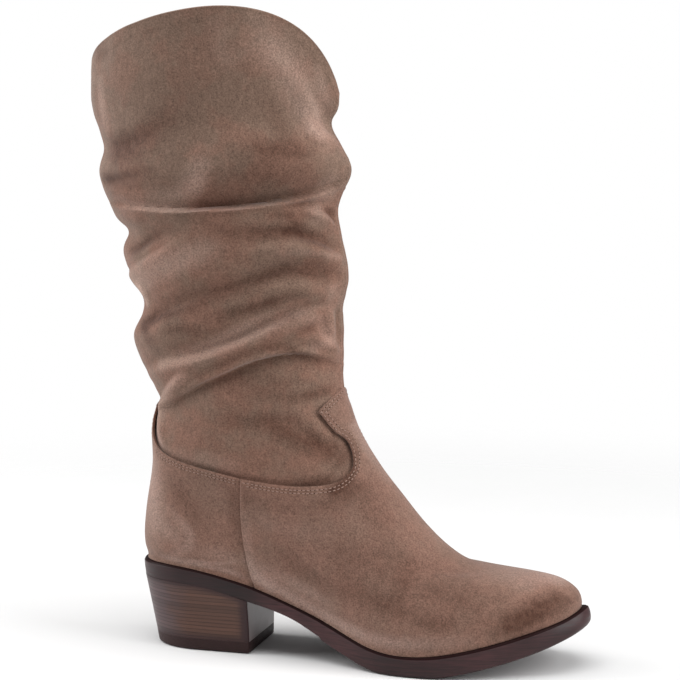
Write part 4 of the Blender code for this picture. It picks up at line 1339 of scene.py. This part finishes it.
def overlay_stand(base, away, lap):
    """How far a foot piece stands off the skin, from its distance to the cut edge and the side seam."""
    x, z = base[:, 0], base[:, 2]
    seam = smooth_line(SIDE_SEAM)
    seam_away = np.abs(line_distance(np.hstack([seam, np.zeros((len(seam), 1))]), x, z)[0])
    sizes = bpy.context.scene.boot_sizes
    stand = CLEARANCE + OVERLAY_WALL - CUT_ROUND * ease(1 - away / CUT_ROUND_WIDTH)
    stand -= PEAK_SINK * near_peak(base)
    stand += lap * ease(1 - seam_away / LAP_WIDTH)
    sewn = ease(seam_away / SIDE_SEAM_CLEAR)
    for inset in (sizes.first_row / MM, sizes.second_row / MM):
        stand -= STITCH_SINK * sewn * bell(away - inset, STITCH_SINK_WIDTH)
    uneven = fade(FOOT_RIPPLE_FADE, away) * fade(FEATHER_FADE, z - sole_top(x))
    return stand + ripple(base, *FOOT_RIPPLE) * uneven


def overlay_tone(base, away):
    """Tone of a foot piece's nap: its strokes of painted light and shade, painted shade along the cut edge
    and darker sewing.
    """
    tone = side_strokes(FOOT_TONES, base[:, 0], base[:, 2])
    # Painted shade along the rounded cut edge
    tone -= CUT_SHADE * ease(1 - away / CUT_SHADE_WIDTH)
    return tone - SEWN_TONE * bell(away - SEWN_AT, SEWN_WIDTH)


def overlay(name, turns, step, outline, lap):
    """A sewn-on foot piece: the skin cut to an outline, with a rounded edge and sunk rows of stitches."""
    rows = even_rows(0, OVERLAY_TOP_ROW, step)
    row, turn = np.meshgrid(rows, turns, indexing="ij")
    turn, row, snapped, stays = snap_to_outline(turn, row, outline)
    flat_turn, flat_row = turn.ravel(), row.ravel()
    base = skin(flat_turn, flat_row)
    facing = skin_normals(flat_turn, flat_row)
    away = edge_distances(base, base[snapped.ravel()])
    stand = overlay_stand(base, away, lap)
    piece = start_grid(name, turn.shape[1] - 1, turn.shape[0] - 1)
    lay_points(piece, base + facing * stand[:, None])
    keep_values(piece, "tone", overlay_tone(base, away))
    trim_faces(piece, stays.ravel())
    apply_modifier(piece, "SOLIDIFY", thickness=(OVERLAY_WALL - CUT_SLACK) * MM, offset=-1.0)
    apply_modifier(
        piece, "BEVEL", width=CUT_BEVEL * MM, segments=2, limit_method="ANGLE",
        angle_limit=math.radians(CUT_ANGLE))
    shade(piece, SUEDE_ANGLE)
    return piece


class BOOT_OT_foot(bpy.types.Operator):
    """Vamp and counter, laid over the foot of the boot and lapped at the side seam"""

    bl_idname = "boot.foot"
    bl_label = "Vamp and Counter"

    def execute(self, context):
        colours = context.scene.boot_colours
        foot_suede = suede(
            "foot suede", colours.foot_warm, colours.foot_grey, colours.foot_lit_and_worn, colours.shade_and_burnish,
            colours.sheen, (1.6, 1.6, 2.2))
        vamp_turns = np.linspace(*VAMP_TURNS, VAMP_COLUMNS + 1)
        vamp = overlay("vamp_piece", vamp_turns, VAMP_STEP, vamp_outline(), VAMP_LAP)
        dress(vamp, [foot_suede], "vamp")
        counter_turns = np.linspace(*COUNTER_TURNS, COUNTER_COLUMNS + 1)
        counter = overlay("counter_piece", counter_turns, COUNTER_STEP, counter_outline(), COUNTER_LAP)
        dress(counter, [foot_suede], "counter")
        return {"FINISHED"}


def inset_line(edge, outline, inset):
    """A line of the side view inside a cut edge, without the places where it would come too near it."""
    line = smooth_line(edge, ROW_STEPS)
    along = np.gradient(line, axis=0)
    along /= np.linalg.norm(along, axis=1)[:, None]
    moved = line + inset * np.stack([along[:, 1], -along[:, 0]], axis=1)
    return moved[outline_distance(outline, moved[:, 0], moved[:, 1]) < ROW_SLACK - inset]


def onto_side(tree, line, side):
    """The places where a line of the side view meets a piece on one side of the boot, and their facing."""
    found = []
    for x, z in line:
        start = Vector(in_frame((x, side * BESIDE, z)))
        place, facing, _, _ = tree.ray_cast(start, Vector((0, -side, 0)))
        if place is not None:
            found.append((place, facing))
    return found


def stitch_places(path, length, gap):
    """Even stitches along a path: the middle of each, its direction and its facing."""
    places = []
    pitch = length + gap
    walked = 0.0
    for (start, start_facing), (end, _) in zip(path, path[1:]):
        stretch = (end - start).length
        if stretch > ROW_BREAK * MM:
            walked = 0.0
            continue
        while stretch > 0 and walked <= stretch:
            along = (end - start).normalized()
            places.append((start + along * walked, along, start_facing))
            walked += pitch
        walked -= stretch
    return places


def joined_copies(name, template, places, scale, lift):
    """One mesh of a small shape copied to many places, each turned along its stitch."""
    shape_points, shape_faces = template
    points, faces = [], []
    for middle, along, facing in places:
        across = facing.cross(along).normalized()
        up = along.cross(across)
        turned = Matrix((along, across, up)).transposed()
        first = len(points)
        for point in shape_points:
            sized = Vector((point[0] * scale[0], point[1] * scale[1], point[2] * scale[2]))
            points.append(middle + up * lift + turned @ sized)
        faces.extend([[first + corner for corner in face] for face in shape_faces])
    mesh = bpy.data.meshes.new(name)
    mesh.from_pydata(points, [], faces)
    mesh.shade_smooth()
    piece = bpy.data.objects.new(name, mesh)
    bpy.context.scene.collection.objects.link(piece)
    return piece


def small_ball():
    """Points and faces of a ball of a few dozen faces, one across."""
    bpy.ops.object.select_all(action="DESELECT")
    bpy.ops.mesh.primitive_uv_sphere_add(segments=8, ring_count=5, radius=0.5, rotation=(0, math.pi / 2, 0))
    bpy.ops.object.transform_apply(location=False, rotation=True, scale=False)
    ball = bpy.context.object
    template = [tuple(v.co) for v in ball.data.vertices], [tuple(p.vertices) for p in ball.data.polygons]
    bpy.data.objects.remove(ball)
    return template


class BOOT_OT_stitching(bpy.types.Operator):
    """Double rows of stitches along the edges of vamp and counter"""

    bl_idname = "boot.stitching"
    bl_label = "Stitching"

    def execute(self, context):
        sizes = context.scene.boot_sizes
        colours = context.scene.boot_colours
        view = context.evaluated_depsgraph_get()
        paths = []
        edges = (
            ("vamp_piece", VAMP_EDGE, vamp_outline()),
            ("vamp_piece", [VAMP_EDGE[-1], VAMP_PEAK], vamp_outline()),
            ("counter_piece", COUNTER_EDGE, counter_outline()),
        )
        for name, edge, outline in edges:
            tree = BVHTree.FromObject(bpy.data.objects[name], view)
            for inset in (sizes.first_row / MM, sizes.second_row / MM):
                for side in (-1, 1):
                    paths.append(onto_side(tree, inset_line(edge, outline, inset), side))
        places = []
        for path in paths:
            places.extend(stitch_places(path, sizes.stitch_length, sizes.stitch_gap))
        if not places:
            raise RuntimeError("no seam was found to sew")
        ball = small_ball()
        thread_size = (sizes.stitch_length, sizes.stitch_width, sizes.stitch_width * THREAD_FLATNESS)
        threads = joined_copies("stitches", ball, places, thread_size, THREAD_LIFT * MM)
        dress(threads, [sewing_thread(colours)])
        reach = (sizes.stitch_length + sizes.stitch_gap) / 2
        ends = [(middle + along * reach, along, facing) for middle, along, facing in places]
        hole_size = (sizes.stitch_gap * HOLE_LENGTH, sizes.stitch_width * HOLE_WIDTH, HOLE_DEPTH * MM)
        holes = joined_copies("needle_holes", ball, ends, hole_size, -THREAD_LIFT * MM)
        dress(holes, [needle_hole(colours)])
        return {"FINISHED"}


def drawn_in(outline, inset, turn):
    """Plan of an outline drawn in by an inset all round, with its centre line."""
    smaller = outline._replace(
        back_x=outline.back_x + inset, front_x=outline.front_x - inset,
        heel=outline.heel - inset, waist=outline.waist - inset, ball=outline.ball - inset)
    part = Section(*(np.broadcast_to(value, turn.shape) for value in smaller))
    x, y, _, _ = section_plan(part, turn)
    return x, y, curve(CENTRE_X, CENTRE_Y, x)


def sole_ring(turn, foot, heel, toe, fill):
    """The sole's outline drawn in along the foot, at the heel and at the toe, and filled to its middle."""
    length = drawn_in(SOLE_OUTLINE, 0.0, turn)[0]
    inset = heel + (foot - heel) * fade(SOLE_FOOT, length)
    inset += (toe - foot) * fade(SOLE_TOE, length)
    x, y, centre = drawn_in(SOLE_OUTLINE, inset, turn)
    return x, centre + (y - centre) * fill


def sole_turns():
    """Places round the sole, with close pairs where the tread steps down."""
    turns = np.arange(SOLE_COLUMNS) / SOLE_COLUMNS
    step = math.acos(1 - 2 * TREAD_STEP_X / SOLE_LENGTH) / (2 * math.pi)
    extra = [step - STEP_BEFORE, step + STEP_AFTER, 1 - step - STEP_AFTER, 1 - step + STEP_BEFORE]
    apart = np.min([np.abs(turns - value) for value in extra], axis=0) > STEP_BEFORE
    return np.sort(np.concatenate([turns[apart], extra]))


class BOOT_OT_sole(bpy.types.Operator):
    """Sole with a waxed edge, a dark rim under the upper and a stepped tread"""

    bl_idname = "boot.sole"
    bl_label = "Sole"

    def execute(self, context):
        colours = context.scene.boot_colours
        turn = np.append(sole_turns(), 1.0) % 1.0
        under = [SOLE_SIDE[0] + (fill,) for fill in (0.0, 0.3, 0.6, 0.85)]
        side = [level + (1.0,) for level in SOLE_SIDE]
        over = [SOLE_SIDE[-1] + (fill,) for fill in (0.85, 0.5, 0.0)]
        rings, rims, wear = [], [], []
        for share, *insets, fill in under + side + over:
            x, y = sole_ring(turn, *insets, fill)
            tread = sole_tread(x)
            rings.append(np.stack([x, y, tread + share * (sole_top(x) - tread)], axis=1))
            rims.append(np.full(turn.size, float(share > RIM_FROM)))
            wear.append(curve(EDGE_LIGHTNESS_X, EDGE_LIGHTNESS, x))
        treads = np.zeros((len(rings) - 1, turn.size - 1))
        treads[:len(under)] = 1
        piece = ring_piece("sole", rings, SOLE_ANGLE, treads, rim=rims, wear=wear)
        dress(piece, [sole_edge(colours), sole_tread_look(colours)], "outsole")
        return {"FINISHED"}


def heel_ring(share, inset, fill):
    """The D outline of the heel at a share of its height: round back, straight sides, flat breast."""
    back = float(curve(HEEL_SHARE, HEEL_BACK_X, np.array([share]))[0]) + inset
    half = float(curve(HEEL_SHARE, HEEL_HALF_WIDTH, np.array([share]))[0]) - inset
    breast = HEEL_BREAST_X - inset
    along = 1 - np.cos(np.pi / 2 * np.arange(HEEL_SIDE_POINTS + 1) / HEEL_SIDE_POINTS)
    side_x = back + (breast - HEEL_CORNER - back) * along
    side_y = half * np.sqrt(1 - (1 - np.minimum(along / HEEL_BACK_ROUND, 1.0)) ** 2)
    angle = np.pi / 2 * np.arange(1, HEEL_CORNER_POINTS + 1) / HEEL_CORNER_POINTS
    half_x = np.concatenate([side_x, breast - HEEL_CORNER * (1 - np.sin(angle))])
    half_y = np.concatenate([side_y, half - HEEL_CORNER * (1 - np.cos(angle))])
    across = np.linspace(-1, 1, HEEL_BREAST_POINTS + 1)[1:-1]
    x = np.concatenate([half_x, np.full(across.size, breast), half_x[::-1]])
    y = np.concatenate([-half_y, across * half_y[-1], half_y[::-1]])
    return x, y * fill


# One ring of a heel piece: its share of the heel's height, how far it is drawn in, how far it is filled
# from its middle, and a function for its height along the foot
HeelRing = namedtuple("HeelRing", "share inset fill height")


def heel_piece(name, walls, rim):
    """A heel piece from the rings of its walls, with both ends filled in to the middle."""
    under = [walls[0]._replace(fill=fill) for fill in (0.0, 0.5)]
    over = [walls[-1]._replace(fill=fill) for fill in (0.5, 0.0)]
    rings, rims = [], []
    for share, inset, fill, height in under + walls + over:
        x, y = heel_ring(share, inset, fill)
        z = height(x)
        rings.append(np.stack([x, y, z], axis=1))
        rims.append(rim(x, z))
    breast = np.zeros((len(rings) - 1, len(rings[0]) - 1))
    first = HEEL_SIDE_POINTS + HEEL_CORNER_POINTS
    breast[:, first:first + HEEL_BREAST_POINTS] = 1
    return ring_piece(name, rings, HEEL_ANGLE, breast, rim=rims)


class BOOT_OT_heel(bpy.types.Operator):
    """Stacked leather heel with its breast, and the rubber top piece it treads on"""

    bl_idname = "boot.heel"
    bl_label = "Heel"

    def execute(self, context):
        sizes = context.scene.boot_sizes
        colours = context.scene.boot_colours
        seat = TOP_PIECE_HEIGHT + SEAT_GAP

        def level(share):
            return lambda x: seat + share * (sole_tread(x) - SEAT_GAP - seat)

        def stack_rim(x, z):
            top_and_foot = np.minimum(z - seat, sole_tread(x) - z)
            return np.maximum(fade(CORNER_RIM, x), RIM_TONE * ease(1 - top_and_foot / RIM_HEIGHT))

        walls = []
        for share in np.linspace(0, 1, HEEL_LEVELS + 1):
            heel_share = TOP_PIECE_SHARE + (1 - TOP_PIECE_SHARE) * share
            walls.append(HeelRing(heel_share, 0.0, 1.0, level(share)))
        stack = heel_piece("stacked_heel", walls, stack_rim)
        stack_looks = [stacked_layers(colours, sizes.heel_layer), breast_finish(colours)]
        dress(stack, stack_looks, "heel_stack")
        walls = []
        for height, inset in TOP_PIECE_RINGS:
            share = TOP_PIECE_SHARE * height / TOP_PIECE_HEIGHT
            walls.append(HeelRing(share, inset, 1.0, lambda x, z=height: np.full(x.shape, z)))
        top_piece = heel_piece("heel_tread", walls, lambda x, z: np.zeros(x.shape))
        rubber = heel_rubber(colours)
        dress(top_piece, [rubber, rubber], "heel_top_piece")
        return {"FINISHED"}


class BOOT_OT_insole(bpy.types.Operator):
    """Sock of lining leather that covers the inside of the sole"""

    bl_idname = "boot.insole"
    bl_label = "Insole"

    def execute(self, context):
        turn = np.arange(INSOLE_COLUMNS + 1) / INSOLE_COLUMNS % 1.0
        x, y, centre = drawn_in(SECTIONS[0], SOCK_INSET, turn)
        rings = []
        for fill, lift in SOCK_RINGS:
            rings.append(np.stack([x, centre + (y - centre) * fill, sole_top(x) + lift], axis=1))
        piece = ring_piece("insole_sock", rings, SOCK_ANGLE)
        dress(piece, [lining_leather(context.scene.boot_colours)], "insole")
        return {"FINISHED"}


# Floor and soft panels in metres, and the camera and what it looks at in boot millimetres
FLOOR_RADIUS, FLOOR_DROP = 9.0, 0.0003
LIT_MIDDLE = (0.0, 0.0, 0.2)
TOP_PLACE, TOP_SIZE = (0.0, -0.25, 1.7), (1.6, 1.4)
SIDE_PLACES, SIDE_SIZE = {"back": (-1.35, -0.15, 0.75), "front": (1.35, -0.15, 0.75)}, (1.0, 1.5)
CAMERA_PLACE, CAMERA_TARGET = (428.3, -1050.8, 313.6), (127.0, 0.0, 191.0)
FILM_WIDTH = 36.0


def area_light(name, place, target, size, power):
    """A soft panel of light turned towards a place."""
    bpy.ops.object.select_all(action="DESELECT")
    bpy.ops.object.light_add(type="AREA", location=place)
    lamp = bpy.context.object
    lamp.name = name
    lamp.rotation_euler = (Vector(target) - Vector(place)).to_track_quat("-Z", "Y").to_euler()
    lamp.data.shape = "RECTANGLE"
    lamp.data.size, lamp.data.size_y = size
    lamp.data.energy = power


def light_room(scene, colour, strength):
    """Light from all round that the camera sees as a bright even background."""
    world = bpy.data.worlds.new("room")
    world.use_nodes = True
    scene.world = world
    nodes, links = world.node_tree.nodes, world.node_tree.links
    lit = nodes["Background"]
    seen = nodes.new("ShaderNodeBackground")
    for air, power in ((lit, strength), (seen, 1.0)):
        air.inputs["Color"].default_value = (*colour, 1.0)
        air.inputs["Strength"].default_value = power
    both = nodes.new("ShaderNodeMixShader")
    links.new(nodes.new("ShaderNodeLightPath").outputs["Is Camera Ray"], both.inputs["Fac"])
    links.new(lit.outputs["Background"], both.inputs[1])
    links.new(seen.outputs["Background"], both.inputs[2])
    links.new(both.outputs["Shader"], nodes["World Output"].inputs["Surface"])


def place_camera(scene, lens):
    """A camera at the photograph's angle."""
    place, target = in_frame([CAMERA_PLACE, CAMERA_TARGET])
    bpy.ops.object.select_all(action="DESELECT")
    bpy.ops.object.camera_add(location=place)
    camera = bpy.context.object
    camera.name = "camera"
    camera.rotation_euler = Vector(target - place).to_track_quat("-Z", "Y").to_euler()
    camera.data.sensor_width = FILM_WIDTH
    camera.data.lens = lens
    camera.data.dof.use_dof = False
    scene.camera = camera


class BOOT_OT_stage(bpy.types.Operator):
    """Pale floor, soft studio light and the camera at the photograph's angle"""

    bl_idname = "boot.stage"
    bl_label = "Stage"

    def execute(self, context):
        stage = context.scene.boot_stage
        colours = context.scene.boot_colours
        bpy.ops.object.select_all(action="DESELECT")
        bpy.ops.mesh.primitive_circle_add(
            vertices=96, radius=FLOOR_RADIUS, fill_type="NGON", location=(0, 0, -FLOOR_DROP))
        floor = context.object
        floor.name = "floor"
        bpy.ops.object.transform_apply(location=True, rotation=False, scale=False)
        floor.data.materials.append(pale_floor(colours))
        area_light("top_panel", TOP_PLACE, LIT_MIDDLE, TOP_SIZE, stage.top_power)
        for side, place in SIDE_PLACES.items():
            area_light(f"{side}_side_panel", place, LIT_MIDDLE, SIDE_SIZE, stage.side_power)
        light_room(context.scene, colours.room, stage.room_strength)
        place_camera(context.scene, stage.lens)
        context.scene.view_settings.view_transform = "Standard"
        return {"FINISHED"}


class BOOT_PT_panel(bpy.types.Panel):
    """Steps that dress the boot"""

    bl_idname = "BOOT_PT_panel"
    bl_label = "Tall Slouch Boot"
    bl_space_type = "VIEW_3D"
    bl_region_type = "UI"
    bl_category = "Boot"

    def draw(self, context):
        for operator in OPERATORS:
            self.layout.operator(operator.bl_idname)
        for group in ("boot_sizes", "boot_colours", "boot_stage"):
            settings = getattr(context.scene, group)
            for name in settings.__annotations__:
                self.layout.prop(settings, name)


GROUPS = (BootSizes, BootColours, BootStage)
OPERATORS = (
    BOOT_OT_shaft,
    BOOT_OT_foot,
    BOOT_OT_stitching,
    BOOT_OT_sole,
    BOOT_OT_heel,
    BOOT_OT_insole,
    BOOT_OT_stage,
)


def register():
    for kind in GROUPS + OPERATORS + (BOOT_PT_panel,):
        bpy.utils.register_class(kind)
    bpy.types.Scene.boot_sizes = bpy.props.PointerProperty(type=BootSizes)
    bpy.types.Scene.boot_colours = bpy.props.PointerProperty(type=BootColours)
    bpy.types.Scene.boot_stage = bpy.props.PointerProperty(type=BootStage)


def unregister():
    del bpy.types.Scene.boot_stage
    del bpy.types.Scene.boot_colours
    del bpy.types.Scene.boot_sizes
    for kind in reversed(GROUPS + OPERATORS + (BOOT_PT_panel,)):
        bpy.utils.unregister_class(kind)


def main():
    register()
    bpy.ops.boot.shaft()
    bpy.ops.boot.foot()
    bpy.ops.boot.stitching()
    bpy.ops.boot.sole()
    bpy.ops.boot.heel()
    bpy.ops.boot.insole()
    bpy.ops.boot.stage()


if __name__ == "__main__":
    main()
